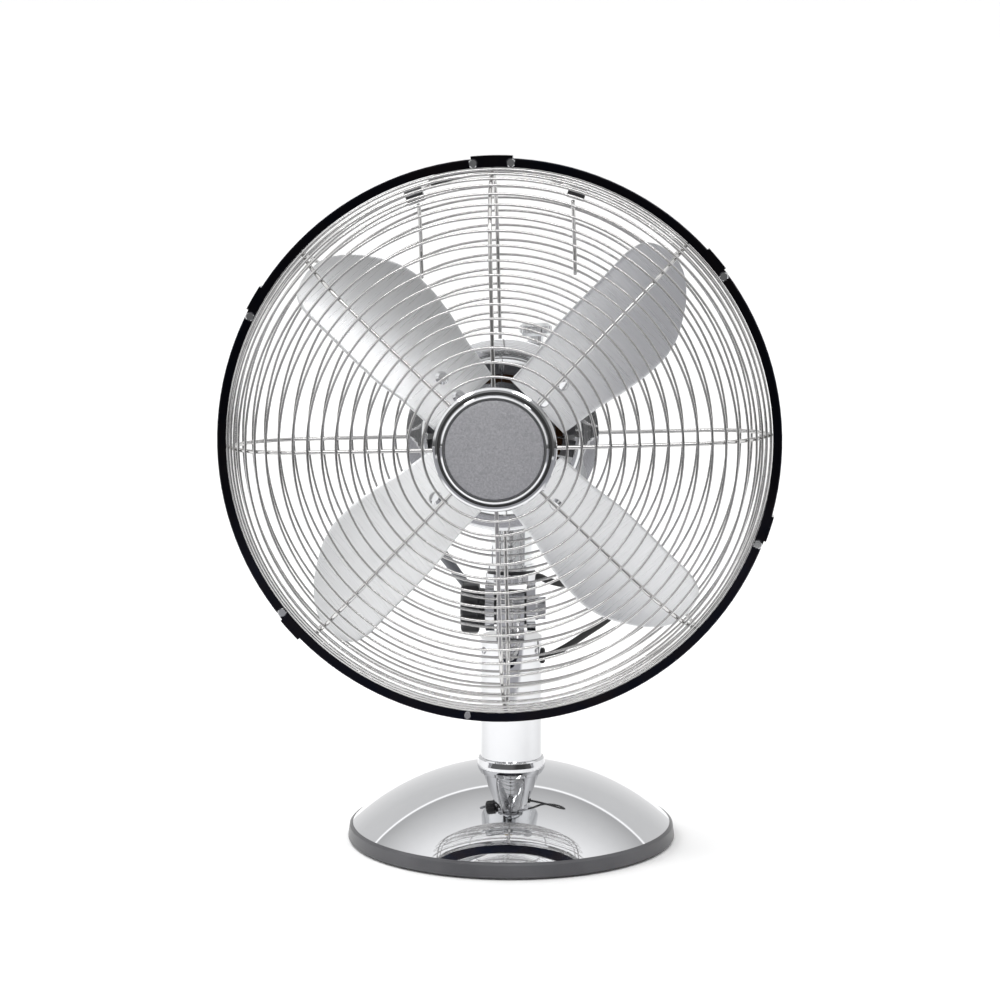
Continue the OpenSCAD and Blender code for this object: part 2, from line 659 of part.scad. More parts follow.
module tie_bolts() fan() rotate([0, 0, 45])
    round_about(4, post_ring_r) {
        translate([0, 0, plate_back]) screw(1.95, stator_front - plate_back + 5, 3.6, 2.2);
        difference() {
            translate([0, 0, stator_front]) cylinder(r = 3.6, h = 3, $fn = 6);
            translate([0, 0, stator_front - 1]) cylinder(r = 2, h = 6);
        }
    }

module motor_bushes() color([0.75, 0.6, 0.3]) fan() {
    ring(shaft_r + run_fit, bush_r, nose_f - 9, nose_f + 0.8);
    ring(shaft_r + run_fit, bush_r, plate_back - 2, plate_front + 4);
}

case_top = 13;
case_right = knob_off + wheel_r + 1;
module gear_case() color([0.35, 0.35, 0.37]) fan()
    difference() {
        union() {
            translate([-14, -14, -42]) cube([case_right + 16, case_top + 14, 42 + plate_back]);
            translate([0, 0, -46]) cylinder(r = 5, h = 5);
        }
        translate([-12, -12, -39]) cube([case_right + 12, case_top + 10, 40]);
        translate([knob_off, -20, knob_f]) rotate([-90, 0, 0]) cylinder(r = 2.5 + run_fit, h = 50);
        translate([0, 0, -47]) cylinder(r = 2, h = 7.5);
    }

module worm_wheel() color([0.9, 0.88, 0.8]) fan()
    translate([knob_off, 0, knob_f]) rotate([-90, 0, 0]) {
        translate([0, 0, -16]) cylinder(r = 2.5, h = 24);
        translate([0, 0, -3])
            linear_extrude(6)
                polygon([for (i = [0:wheel_teeth * 4 - 1])
                    let (r = wheel_r - ((i % 4 < 2) ? 0 : 0.9), a = i * 90 / wheel_teeth)
                    [r * cos(a), r * sin(a)]]);
        translate([0, 0, -11.9]) cylinder(r = 5, h = 8.95);
    }

module oscillation_knob() color([0.85, 0.86, 0.88]) fan()
    translate([knob_off, 0, knob_f]) rotate([-90, 0, 0])
        difference() {
            union() {
                translate([0, 0, case_top + 4]) cylinder(r = 2.5, h = 16);
                translate([0, 0, case_top + 16]) cylinder(r = 5, h = knob_top - case_top - 22);
                translate([0, 0, knob_top - 8]) cylinder(r1 = cap_r - 1.4, r2 = cap_r, h = 2);
                translate([0, 0, knob_top - 6]) cylinder(r = cap_r, h = 4);
                translate([0, 0, knob_top - 2]) cylinder(r1 = cap_r, r2 = cap_r - 2.4, h = 2);
            }
            round_about(24, cap_r + 0.5) translate([0, 0, knob_top - 9]) cylinder(r = 1, h = 12);
        }

module motor_shaft() color([0.75, 0.76, 0.78]) fan() {
    translate([0, 0, plate_back - 3]) cylinder(r = shaft_r, h = shaft_tip - plate_back + 3);
    translate([0, 0, -36]) cylinder(r = tail_shaft_r, h = 36 + plate_back);
}

module rotor_core() color([0.5, 0.5, 0.52]) fan()
    difference() {
        union() {
            ring(shaft_r, rotor_r, stator_back, stator_front);
            ring(rotor_r - 6, rotor_r - 2, stator_back - 2, stator_front + 2);
        }
        round_about(8, rotor_r * 0.52) cylinder(r = 2.6, h = 60);
    }

module worm() color([0.75, 0.62, 0.3]) fan()
    translate([0, 0, knob_f - 7]) rotate_extrude()
        polygon(concat(
            [[tail_shaft_r, 14], [tail_shaft_r, 0]],
            [for (i = [0:6]) for (p = [[worm_r - 0.9, 0], [worm_r, 0.7], [worm_r, 1.1], [worm_r - 0.9, 1.8]])
                p + [0, 2 * i]]));

// ---- blades ----
camber = 2.6;
k_b = blade_reach / 152;
blade_in = 31 * k_b;
// Half width of the trailing and the leading side at a distance from the shaft.
trail_side = [[30, 22.5], [57, 25], [75, 28.8], [92, 30.3], [118, 31.7], [134, 33], [144, 31], [149, 26], [152, 15]];
lead_side = [[30, 22.5], [57, 25.2], [74, 28.6], [91, 30.4], [108, 29.8], [120, 26], [131, 19], [140, 12], [149, 1], [152, -9]];
function trail(u) = k_b * lookup(u / k_b, trail_side);
function lead(u) = k_b * lookup(u / k_b, lead_side);
function pitch(u) = pitch_root + (pitch_tip - pitch_root) * (u - blade_in) / (blade_reach - blade_in);
function neck_pitch(u) = let (t = max(0, min(1, (u - 20) / 12))) pitch(max(u, blade_in)) * t * t * (3 - 2 * t);
// Height of the sheet's middle over the point w across the blade at u.
function sheet_f(u, w) = w * tan(u < blade_in + 2 ? neck_pitch(u) : pitch(u))
    - camber * (1 - pow(w / (31 * k_b), 2));
blade_us = [for (i = [0:17]) blade_in + (blade_reach - 0.4 - blade_in) * (1 - pow(1 - i / 17, 1.55))];
blade_vs = [0, 0.16, 0.33, 0.5, 0.67, 0.84, 1];

// A thin sheet over a grid of [u, w, f] points, given row by row.
module sheet(rows, cols, mid, t, slope) {
    n = rows * cols;
    verts = concat(
        [for (i = [0:n - 1]) mid[i] + [0, 0, t / 2 / slope[i]]],
        [for (i = [0:n - 1]) mid[i] - [0, 0, t / 2 / slope[i]]]);
    faces = concat(
        [for (i = [0:rows - 2]) for (j = [0:cols - 2]) let (a = i * cols + j)
            for (f = [[a, a + 1, a + cols + 1], [a, a + cols + 1, a + cols]]) f],
        [for (i = [0:rows - 2]) for (j = [0:cols - 2]) let (a = i * cols + j + n)
            for (f = [[a, a + cols + 1, a + 1], [a, a + cols, a + cols + 1]]) f],
        [for (i = [0:rows - 2]) let (a = i * cols)
            for (f = [[a, a + cols, a + cols + n], [a, a + cols + n, a + n]]) f],
        [for (i = [0:rows - 2]) let (a = i * cols + cols - 1)
            for (f = [[a, a + cols + n, a + cols], [a, a + n, a + cols + n]]) f],
        [for (j = [0:cols - 2])
            for (f = [[j, j + n + 1, j + 1], [j, j + n, j + n + 1]]) f],
        [for (j = [0:cols - 2]) let (a = (rows - 1) * cols + j)
            for (f = [[a, a + 1, a + n + 1], [a, a + n + 1, a + n]]) f]);
    polyhedron(points = verts, faces = faces);
}

// Children drawn on blade i, with z forward from the rotor's middle plane.
module on_blade(i) fan() translate([0, 0, blade_f]) rotate([0, 0, 42.5 + 90 * i]) children();

rivet_us = [36 * k_b, 51 * k_b];
rivet_r = 2.2;
module rivet_line(u, r) translate([u, 0, sheet_f(u, 0)]) rotate([u < 20 ? 0 : pitch(u), 0, 0])
    translate([0, 0, -9]) cylinder(r = r, h = 18);

module blade(i) color([0.78, 0.79, 0.82]) on_blade(i)
    difference() {
        sheet(len(blade_us), len(blade_vs),
            [for (u = blade_us) for (v = blade_vs) let (w = -lead(u) + v * (lead(u) + trail(u)))
                [u, w, sheet_f(u, w)]],
            blade_t, [for (u = blade_us) for (v = blade_vs) cos(pitch(u))]);
        for (u = rivet_us) rivet_line(u, rivet_r + 0.02);
    }
module blade_1() blade(0);
module blade_2() blade(1);
module blade_3() blade(2);
module blade_4() blade(3);

arm_t = 1.8;
arm_us = [12.4, 15, 18, 20, 22, 24, 26, 28, 30, 32, 35, 40, 46, 52, 58 * k_b];
arm_drop = (blade_t + arm_t) / 2 + 0.3;
function arm_half(u) = u < 18 ? 9 : u < 24 ? 7.6 : u < 31 ? 8.2 : 10 - (u > 56 ? 4 : 0);
module blade_arms() color([0.6, 0.61, 0.63])
    for (i = [0:3]) on_blade(i)
        difference() {
            sheet(len(arm_us), 5,
                [for (u = arm_us) for (v = [-1, -0.5, 0, 0.5, 1]) let (w = v * arm_half(u))
                    [u, w, sheet_f(u, w) - arm_drop / cos(neck_pitch(u))]],
                arm_t, [for (u = arm_us) for (v = [0:4]) cos(neck_pitch(u))]);
            for (u = rivet_us) rivet_line(u, rivet_r + 0.02);
            rivet_line(17, rivet_r + 0.02);
        }

arm_root_back = blade_f - camber - arm_drop - arm_t / 2;
module blade_hub() color([0.5, 0.51, 0.53]) fan()
    difference() {
        union() {
            translate([0, 0, blade_f - 14]) cylinder(r = 12, h = 26);
            translate([0, 0, arm_root_back - 3]) cylinder(r = 21.5, h = 3);
        }
        translate([0, 0, blade_f - 20]) cylinder(r = shaft_r, h = 60);
        for (i = [0:3]) rotate([0, 0, 42.5 + 90 * i]) translate([17, 0, arm_root_back - 8]) cylinder(r = rivet_r + 0.02, h = 16);
    }

module blade_rivets()
    for (i = [0:3]) {
        for (u = rivet_us) on_blade(i)
            translate([u, 0, sheet_f(u, 0)]) rotate([pitch(u), 0, 0]) {
                translate([0, 0, -blade_t / 2 - arm_t - 1.2]) cylinder(r = rivet_r, h = blade_t + arm_t + 2);
                translate([0, 0, blade_t / 2 + 0.12]) cylinder(r1 = 4.2, r2 = 2.6, h = 1.4);
                translate([0, 0, -blade_t / 2 - arm_t - 1.5]) cylinder(r1 = 3, r2 = 3.8, h = 0.95);
            }
        fan() rotate([0, 0, 42.5 + 90 * i]) translate([17, 0, arm_root_back]) {
            translate([0, 0, -4.2]) cylinder(r = rivet_r, h = arm_t + 4.6);
            translate([0, 0, -4.2]) cylinder(r = 3.6, h = 1.18);
            translate([0, 0, arm_t + 0.08]) cylinder(r = 3.6, h = 1.1);
        }
    }

module hub_nut() fan()
    difference() {
        union() {
            translate([0, 0, hub_front + 0.01]) cylinder(r = shaft_r + 5, h = 1.2);
            translate([0, 0, hub_front + 1.2]) cylinder(r = shaft_r + 3.6, h = 6, $fn = 6);
            translate([0, 0, hub_front + 7.1]) cylinder(r1 = shaft_r + 2.6, r2 = shaft_r + 1, h = 7.5);
        }
        translate([0, 0, hub_front - 1]) cylinder(r = shaft_r, h = shaft_tip - hub_front + 1.2);
    }

module rotor_fasteners() color([0.85, 0.86, 0.88]) {
    blade_rivets();
    hub_nut();
}

// ---- guard ----
// A round wire bent along a guard outline in the plane of x and z.
module bent_wire(w, s0, r_in, d) {
    l1 = wall_len(w);
    l2 = l1 + turn_len(w);
    l3 = face_s(w, r_in);
    stops = [s0, for (i = [0:6]) l1 + (l2 - l1) * i / 6, (l2 + l3) / 2, l3];
    tube([for (s = stops) let (p = outline(w, s)) [p[0], 0, p[1]]], d / 2, 10, [0, 1, 0]);
}

module guard_spokes(w, r_in) {
    for (i = [0:7]) rotate([0, 0, i * 45]) bent_wire(w, 0.8, r_in, spoke_d);
}

ring_off = (spoke_d + ring_d) / 2 - weld_sink;
module guard_rings(w, count, r_in) {
    s_in = face_s(w, r_in);
    for (i = [0:count - 1]) {
        p = outline(w, 7 + (s_in - 7) * i / (count - 1));
        rotate_extrude($fn = 120)
            translate([p[0] + ring_off * cos(p[2]), p[1] + ring_off * sin(p[2])]) circle(d = ring_d, $fn = 16);
    }
    rotate_extrude($fn = 120) translate([rim_wire_r, rim_wire_off]) circle(d = rim_wire, $fn = 20);
}

front_in = 22;
module front_guard_spokes() color([0.8, 0.81, 0.83]) front_side() guard_spokes(front_line, front_in);
module front_guard_rings() color([0.8, 0.81, 0.83]) front_side() guard_rings(front_line, front_rings, badge_r + 5.8);
// Depth of the rear guard's wires at the radius r, inside its rounded corner.
function rear_d(r) = r < face_r0(rear_line) ? face_d(rear_line, r)
    : corner_c(rear_line)[1] + sqrt(pow(rear_line[3], 2) - pow(r - corner_c(rear_line)[0], 2));

module rear_guard_spokes() color([0.8, 0.81, 0.83]) {
    rear_side() guard_spokes(rear_line, hub_out - 2.5);
    for (x = [-handle_x + 2.5, handle_x - 2.5]) rear_side()
        tube([for (i = [0:8]) let (y = rim_r * (0.57 + i * 0.033)) [x, -y, rear_d(norm([x, y]))]],
            spoke_d / 2, 10, [1, 0, 0]);
    rear_guard_hub();
}
module rear_guard_rings() color([0.8, 0.81, 0.83]) rear_side() guard_rings(rear_line, rear_rings, hub_out + 7);

module rear_guard_hub() fan()
    difference() {
        ring(hub_in, hub_out, shoulder_f, shoulder_f + hub_plate_t);
        rotate([0, 0, 45]) round_about(4, nose_r + 2.6) translate([0, 0, shoulder_f - 1]) cylinder(r = 1.5, h = 9);
    }

module hub_screws() fan() rotate([0, 0, 45])
    round_about(4, nose_r + 2.8)
        translate([-0.2, 0, shoulder_f + hub_plate_t]) rotate([180, 0, 0]) screw(1.25, 7, 2.4, 1.6);

// ---- badge ----
badge_z = face_d(front_line, front_in) + spoke_d / 2 - weld_sink;
badge_back = face_d(front_line, 30) - spoke_d / 2 + weld_sink;
module badge_plate() color([0.5, 0.5, 0.52]) front_side()
    difference() {
        translate([0, 0, badge_back - 1.5]) cylinder(r = 30, h = 1.5);
        for (a = [22.5, 202.5]) rotate([0, 0, a]) translate([16, 0, badge_back - 3]) cylinder(r = 1.7, h = 6);
    }

module badge_screws() front_side()
    for (a = [22.5, 202.5]) rotate([0, 0, a])
        translate([16, 0, badge_back - 1.5]) screw(1.5, 6.2, 3, 1.6);

module badge_cup() color([0.88, 0.89, 0.9]) front_side() translate([0, 0, badge_z])
    difference() {
        rotate_extrude($fn = 120)
            polygon([
                [0, 0], [badge_r - 0.8, 0], [badge_r, 0.8], [badge_r - 0.4, 1.6], [badge_r - 1.6, 2.3],
                [badge_r - 2.8, 2.4], [badge_r - 3, 1.1], [badge_r - 4.3, 1.1], [badge_r - 4.5, 4.4],
                [badge_r - 5, 5.6], [badge_r - 6, 6.4], [badge_r - 7, 6.4], [badge_r - 7.5, 5], [0, 5]]);
        for (a = [22.5, 202.5]) rotate([0, 0, a]) translate([16, 0, -1]) cylinder(r = 1.51, h = 3.6);
    }

module badge_disc() color([0.62, 0.63, 0.65]) front_side() translate([0, 0, badge_z + 5])
    rotate_extrude($fn = 120)
        polygon([[0, 0], [badge_r - 7.6, 0], [badge_r - 7.6, 0.6], [badge_r * 0.5, 1.1], [0, 1.3]]);

module head_screws() color([0.7, 0.7, 0.72]) {
    tie_bolts();
    cover_screw();
    hub_screws();
    badge_screws();
    rim_screw();
}

// ---- rim ----
module rim_band() color([0.1, 0.1, 0.13]) front_side()
    rotate_extrude($fn = 240)
        polygon([
            [rim_r - 5.4, -band_w], [rim_r - 0.6, -band_w], [rim_r, -band_w + 0.6],
            [rim_r, band_w - 0.6], [rim_r - 0.6, band_w], [rim_r - 5.4, band_w],
            [rim_r - 5.4, band_w - band_t], [rim_r - band_t, band_w - band_t],
            [rim_r - band_t, -band_w + band_t], [rim_r - 5.4, -band_w + band_t]]);

clip_angles = [35, 152, 217, 337];
clip_ways = [1, -1, 1, 1];
stud_r = 1.5;
pin_r = rim_r - 2.7;
lip_out = 0.9;
clip_gap = 0.06;
deg_mm = 180 / pi / rim_r;

// Outline of the channel that goes over the band, from its lips to its back.
module clip_section(lip) {
    o = rim_r + clip_gap;
    f = band_w + clip_gap;
    polygon([
        [o - lip, f], [o, f], [o, -f], [o - lip, -f], [o - lip, -f - lip_out],
        [o + clip_t - 0.3, -f - lip_out], [o + clip_t, -f - lip_out + 0.3],
        [o + clip_t, f + lip_out - 0.3], [o + clip_t - 0.3, f + lip_out], [o - lip, f + lip_out]]);
}

// The two flat lips of a clip between its hinge studs and its channel.
module clip_ear(way) {
    for (z = [band_w + clip_gap, -band_w - clip_gap - lip_out])
        translate([0, 0, z]) difference() {
            union() {
                translate([pin_r, 0, 0]) cylinder(r = 2.55, h = lip_out);
                translate([pin_r - 2.55, way > 0 ? 0 : -3.4, 0]) cube([5.2, 3.4, lip_out]);
            }
            translate([pin_r, 0, -1]) cylinder(r = stud_r + run_fit, h = 4);
        }
}

module clip(i) color([0.12, 0.12, 0.15]) front_side() rotate([0, 0, clip_angles[i]]) {
    way = clip_ways[i];
    rotate([0, 0, way > 0 ? 3.2 * deg_mm : -18.6 * deg_mm])
        rotate_extrude(angle = 15.4 * deg_mm, $fn = 360) clip_section(5);
    clip_ear(way);
}
module rim_clip_1() clip(0);
module rim_clip_2() clip(1);
module rim_clip_3() clip(2);
module rim_clip_4() clip(3);

module stud_pair() translate([pin_r, 0, 0])
    for (m = [0, 180]) rotate([m, 0, 0]) translate([0, 0, band_w]) {
        cylinder(r = stud_r, h = 1.1);
        translate([0, 0, clip_gap + lip_out + 0.05]) cylinder(r1 = 2.7, r2 = 2.2, h = 0.8);
    }

bracket_half = 12.5;
module clip_studs() color([0.8, 0.81, 0.83]) front_side() {
    for (a = clip_angles) rotate([0, 0, a]) stud_pair();
    for (a = [90 - (bracket_half - 1) * deg_mm, 90 + (bracket_half - 1) * deg_mm]) rotate([0, 0, a]) stud_pair();
}

module top_bracket() color([0.12, 0.12, 0.15]) front_side() rotate([0, 0, 90])
    difference() {
        rotate([0, 0, -bracket_half * deg_mm]) rotate_extrude(angle = 2 * bracket_half * deg_mm, $fn = 360)
            polygon([
                [rim_r - 5, band_w + eps], [rim_r + eps, band_w + eps],
                [rim_r + eps, -band_w - eps], [rim_r - 5, -band_w - eps],
                [rim_r - 5, -band_w - lip_out], [rim_r + 1.7, -band_w - lip_out],
                [rim_r + 1.7, band_w + lip_out], [rim_r - 5, band_w + lip_out]]);
        for (a = [-1, 1]) rotate([0, 0, a * (bracket_half - 1) * deg_mm])
            translate([pin_r, 0, -20]) cylinder(r = stud_r + 0.02, h = 40);
    }

module rim_screw() front_side() rotate([0, 0, 262])
    translate([rim_r - 3, 0, band_w]) {
        difference() {
            cylinder(r1 = 2.4, r2 = 1.9, h = 1.1);
            translate([-3, -0.3, 0.7]) cube([6, 0.6, 1]);
        }
    }

// ---- carry handle ----
handle_at = outline(rear_line, wall_len(rear_line) + rear_line[3] * 0.42);
handle_r = handle_wire / 2;
sleeve_r = 4.6;
sleeve_len = 10.6;
sleeve_out = ring_off + ring_d / 2 + sleeve_r - 0.5;
sleeve_rad = handle_at[0] + sleeve_out * cos(handle_at[2]);
sleeve_z = -handle_at[1] - sleeve_out * sin(handle_at[2]);
handle_deg = asin(handle_x / sleeve_rad);

module handle_sleeves() color([0.07, 0.07, 0.07])
    difference() {
        front_side() for (m = [-1, 1]) rotate([0, 0, 90 + m * handle_deg]) translate([sleeve_rad, 0, sleeve_z])
            rotate([90, 0, 0]) translate([0, 0, -sleeve_len / 2]) cylinder(r = sleeve_r, h = sleeve_len);
        front_side() for (m = [-1, 1]) rotate([0, 0, 90 + m * handle_deg])
            translate([sleeve_rad, 0, sleeve_z - 20]) cylinder(r = handle_r + 0.02, h = 20);
        rear_side() guard_rings(rear_line, rear_rings, hub_out + 7);
    }

// The handle's middle line: turn from the top, distance from the shaft, distance behind the sleeves.
handle_stops = [
    [1, 0, 0], [1, 0, 0.25], [1, 0.05, 0.5], [0.97, 0.2, 0.72], [0.9, 0.45, 0.88], [0.79, 0.7, 0.97],
    [0.62, 0.9, 1], [0.42, 1, 1], [0.2, 1, 1], [0, 1, 1]];
function handle_pt(q, m) = let (a = 90 + m * handle_deg * q[0], r = sleeve_rad + 6 * q[1])
    [r * cos(a), r * sin(a), sleeve_z - handle_back * q[2]];
handle_last = len(handle_stops) - 1;
handle_line = concat(
    [for (i = [0:handle_last]) handle_pt(handle_stops[i], 1)],
    [for (i = [handle_last - 1:-1:0]) handle_pt(handle_stops[i], -1)]);

module carry_handle() color([0.8, 0.81, 0.83]) front_side()
    tube(handle_line, handle_r, 12, [0, 0.3, 1]);

module handle_grip() color([0.1, 0.1, 0.11]) front_side()
    difference() {
        tube([for (i = [5:len(handle_line) - 6]) handle_line[i]], handle_r + 1.7, 12, [0, 0.3, 1]);
        tube(handle_line, handle_r, 12, [0, 0.3, 1]);
    }

// ---- show ----
base_ring();
foot_ring();
base_plate();
base_weight();
base_dome();
centre_rod();
column_collar();
column_tube();
column_head();
switch_body();
speed_knob();
cord_gland();
stand_screws();
rod_fittings();
motor_lead();
lead_grommets();
tilt_yoke();
tilt_bolt();
pivot_post();
tilt_knob();
knob_lever();
neck_washers();
neck_fasteners();
motor_cradle();
front_shell();
rear_cover();
stator_core();
stator_windings();
motor_bushes();
gear_case();
worm_wheel();
oscillation_knob();
motor_shaft();
rotor_core();
worm();
blade_1();
blade_2();
blade_3();
blade_4();
blade_arms();
blade_hub();
rotor_fasteners();
front_guard_spokes();
front_guard_rings();
rear_guard_spokes();
rear_guard_rings();
badge_plate();
badge_cup();
badge_disc();
head_screws();
rim_band();
rim_clip_1();
rim_clip_2();
rim_clip_3();
rim_clip_4();
clip_studs();
top_bracket();
handle_sleeves();
carry_handle();
handle_grip();
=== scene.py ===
import json
import math

import bmesh
import bpy
import numpy as np
from mathutils import Matrix, Vector


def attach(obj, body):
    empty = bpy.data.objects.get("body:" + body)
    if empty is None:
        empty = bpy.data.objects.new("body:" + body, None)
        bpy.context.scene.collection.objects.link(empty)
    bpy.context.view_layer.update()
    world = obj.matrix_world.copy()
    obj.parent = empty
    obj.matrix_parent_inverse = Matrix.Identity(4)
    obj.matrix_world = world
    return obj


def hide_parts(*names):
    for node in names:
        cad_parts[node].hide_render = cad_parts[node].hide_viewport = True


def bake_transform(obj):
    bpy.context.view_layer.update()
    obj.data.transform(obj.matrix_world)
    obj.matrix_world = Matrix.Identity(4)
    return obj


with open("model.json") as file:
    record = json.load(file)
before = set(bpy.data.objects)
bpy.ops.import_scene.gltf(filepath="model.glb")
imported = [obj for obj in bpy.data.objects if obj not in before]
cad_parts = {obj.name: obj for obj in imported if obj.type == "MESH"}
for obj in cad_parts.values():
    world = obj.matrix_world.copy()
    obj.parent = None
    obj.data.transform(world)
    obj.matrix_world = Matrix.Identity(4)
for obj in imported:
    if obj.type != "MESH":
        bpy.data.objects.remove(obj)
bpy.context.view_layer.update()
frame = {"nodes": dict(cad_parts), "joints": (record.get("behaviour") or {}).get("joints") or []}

# ---- Studio ----
# A pale floor that runs off to the horizon, a soft lamp high on the left and a narrow strip
# lamp in front. The room has a bright line low behind, is grey to the front right and dark
# low in front, so that bright metal has something to mirror.
look_at = Vector((0, 0, 0.216))
camera_turn, camera_rise = math.radians(2.41), math.radians(11.38)
camera_distance = 3.054
lens_mm = 178.9
camera_way = Vector((math.sin(camera_turn) * math.cos(camera_rise),
                     -math.cos(camera_turn) * math.cos(camera_rise),
                     math.sin(camera_rise)))
camera_data = bpy.data.cameras.new("camera")
camera_data.lens = lens_mm
camera_data.sensor_width = 36
camera_data.shift_x = -0.0112
camera_data.shift_y = -0.0034
camera = bpy.data.objects.new("camera", camera_data)
camera.location = look_at + camera_way * camera_distance
camera.rotation_euler = (-camera_way).to_track_quat("-Z", "Y").to_euler()
bpy.context.scene.collection.objects.link(camera)
bpy.context.scene.camera = camera
bpy.context.scene.view_settings.view_transform = "Standard"


def add_object(name, data):
    made = bpy.data.objects.new(name, data)
    bpy.context.scene.collection.objects.link(made)
    return made


def wire_up(tree, pairs):
    for here, there in pairs:
        tree.links.new(here, there)


def set_ramp(ramp, stops):
    """Gives a colour ramp its stops, each a position and a grey level or a colour."""
    while len(ramp.elements) < len(stops):
        ramp.elements.new(1.0)
    for element, (place, shade) in zip(ramp.elements, stops):
        element.position = place
        element.color = (*shade, 1) if hasattr(shade, "__len__") else (shade, shade, shade, 1)


world = bpy.data.worlds.new("studio_room")
world.use_nodes = True
bpy.context.scene.world = world
room = world.node_tree
room_nodes = room.nodes
way = room_nodes.new("ShaderNodeTexCoord")
parts = room_nodes.new("ShaderNodeSeparateXYZ")
over = room_nodes.new("ShaderNodeMath")
half_turn = room_nodes.new("ShaderNodeMapRange")
room_band = room_nodes.new("ShaderNodeValToRGB")
lit_side = room_nodes.new("ShaderNodeValToRGB")
across = room_nodes.new("ShaderNodeMapRange")
in_front = room_nodes.new("ShaderNodeMapRange")
dimmed = room_nodes.new("ShaderNodeMix")
over.operation = "ARCTAN2"
half_turn.inputs["From Max"].default_value = math.pi
set_ramp(room_band.color_ramp, [(0, 0.95), (0.2, 0.86), (0.232, 0.84), (0.239, 1.9), (0.246, 0.6),
                                (0.36, 0.9), (0.5, 1.3), (0.78, 1.1), (0.9, 0.9), (0.95, 0.2), (1, 0.12)])
set_ramp(lit_side.color_ramp, [(0, 1.1), (0.42, 1.0), (0.56, 0.95), (0.68, 0.36), (0.86, 0.42), (1, 0.95)])
across.inputs["From Min"].default_value = -1
in_front.inputs["From Min"].default_value = 0.55
in_front.inputs["From Max"].default_value = 0.72
dimmed.data_type = "RGBA"
dimmed.blend_type = "MULTIPLY"
wire_up(room, [
    (way.outputs["Generated"], parts.inputs[0]),
    (parts.outputs["Z"], over.inputs[0]),
    (parts.outputs["Y"], over.inputs[1]),
    (over.outputs[0], half_turn.inputs["Value"]),
    (half_turn.outputs["Result"], room_band.inputs["Fac"]),
    (half_turn.outputs["Result"], in_front.inputs["Value"]),
    (parts.outputs["X"], across.inputs["Value"]),
    (across.outputs["Result"], lit_side.inputs["Fac"]),
    (in_front.outputs["Result"], dimmed.inputs["Factor"]),
    (room_band.outputs["Color"], dimmed.inputs[6]),
    (lit_side.outputs["Color"], dimmed.inputs[7]),
    (dimmed.outputs[2], room_nodes["Background"].inputs["Color"])])
room_nodes["Background"].inputs["Strength"].default_value = 1.04

floor_r = 30
# Painted reflection: a dark grey band near the floor's front edge appears only to rays coming off metal. Seen
# straight, the whole floor stays pale.
reflected_dark_from, reflected_dark_to = -0.35, -0.41
floor_mesh = bmesh.new()
bmesh.ops.create_circle(floor_mesh, cap_ends=True, radius=floor_r, segments=64)
floor_data = bpy.data.meshes.new("floor")
floor_mesh.to_mesh(floor_data)
floor = add_object("floor", floor_data)
paint = bpy.data.materials.new("pale_floor")
paint.use_nodes = True
paint_tree = paint.node_tree
paint_tree.nodes["Principled BSDF"].inputs["Roughness"].default_value = 0.75
floor_place = paint_tree.nodes.new("ShaderNodeTexCoord")
floor_parts = paint_tree.nodes.new("ShaderNodeSeparateXYZ")
reflected_dark_band = paint_tree.nodes.new("ShaderNodeMapRange")
reflected_dark_band.inputs["From Min"].default_value = reflected_dark_from
reflected_dark_band.inputs["From Max"].default_value = reflected_dark_to
ray = paint_tree.nodes.new("ShaderNodeLightPath")
dark_band_in_reflections = paint_tree.nodes.new("ShaderNodeMath")
dark_band_in_reflections.operation = "MULTIPLY"
floor_colour = paint_tree.nodes.new("ShaderNodeMix")
floor_colour.data_type = "RGBA"
floor_colour.inputs[6].default_value = (0.985, 0.985, 0.985, 1)
floor_colour.inputs[7].default_value = (0.3, 0.3, 0.32, 1)
wire_up(paint_tree, [
    (floor_place.outputs["Object"], floor_parts.inputs[0]),
    (floor_parts.outputs["Y"], reflected_dark_band.inputs["Value"]),
    (reflected_dark_band.outputs["Result"], dark_band_in_reflections.inputs[0]),
    (ray.outputs["Is Glossy Ray"], dark_band_in_reflections.inputs[1]),
    (dark_band_in_reflections.outputs[0], floor_colour.inputs[0]),
    (floor_colour.outputs[2], paint_tree.nodes["Principled BSDF"].inputs["Base Color"])])
floor.data.materials.append(paint)

lamps = [("key_lamp", (-1.1, 0.3, 2.2), (1.2, 1.2), 20, False),
         ("strip_lamp", (0, -1.0, 1.7), (2.4, 0.14), 11, True)]
for name, spot, size, watts, mirrored_in_metal in lamps:
    lamp_data = bpy.data.lights.new(name, "AREA")
    lamp_data.shape = "RECTANGLE"
    lamp_data.size, lamp_data.size_y = size
    lamp_data.energy = watts
    lamp = add_object(name, lamp_data)
    lamp.location = spot
    lamp.rotation_euler = (Vector(spot) - look_at).to_track_quat("Z", "Y").to_euler()
    lamp.visible_glossy = mirrored_in_metal

# ---- Rubber foot and moulded base ring ----
# The fan stands on a soft rubber ring pressed into the underside of a dark moulded ring,
# which has a fine grain, a light sheen and a rolled edge. Its colour also carries painted
# shade and a painted highlight: lighter where seen square on, darker where it turns away.
GROUP_OUT = [("Colour", "NodeSocketColor"), ("Roughness", "NodeSocketFloat"), ("Height", "NodeSocketFloat")]


def effect_group(name, inputs):
    """An empty shader group with the given inputs, and Colour, Roughness and Height going out."""
    group = bpy.data.node_groups.new(name, "ShaderNodeTree")
    for label, kind, value in inputs:
        socket = group.interface.new_socket(label, in_out="INPUT", socket_type=kind)
        socket.default_value = value
    for label, kind in GROUP_OUT:
        group.interface.new_socket(label, in_out="OUTPUT", socket_type=kind)
    return group, group.nodes.new("NodeGroupInput"), group.nodes.new("NodeGroupOutput")


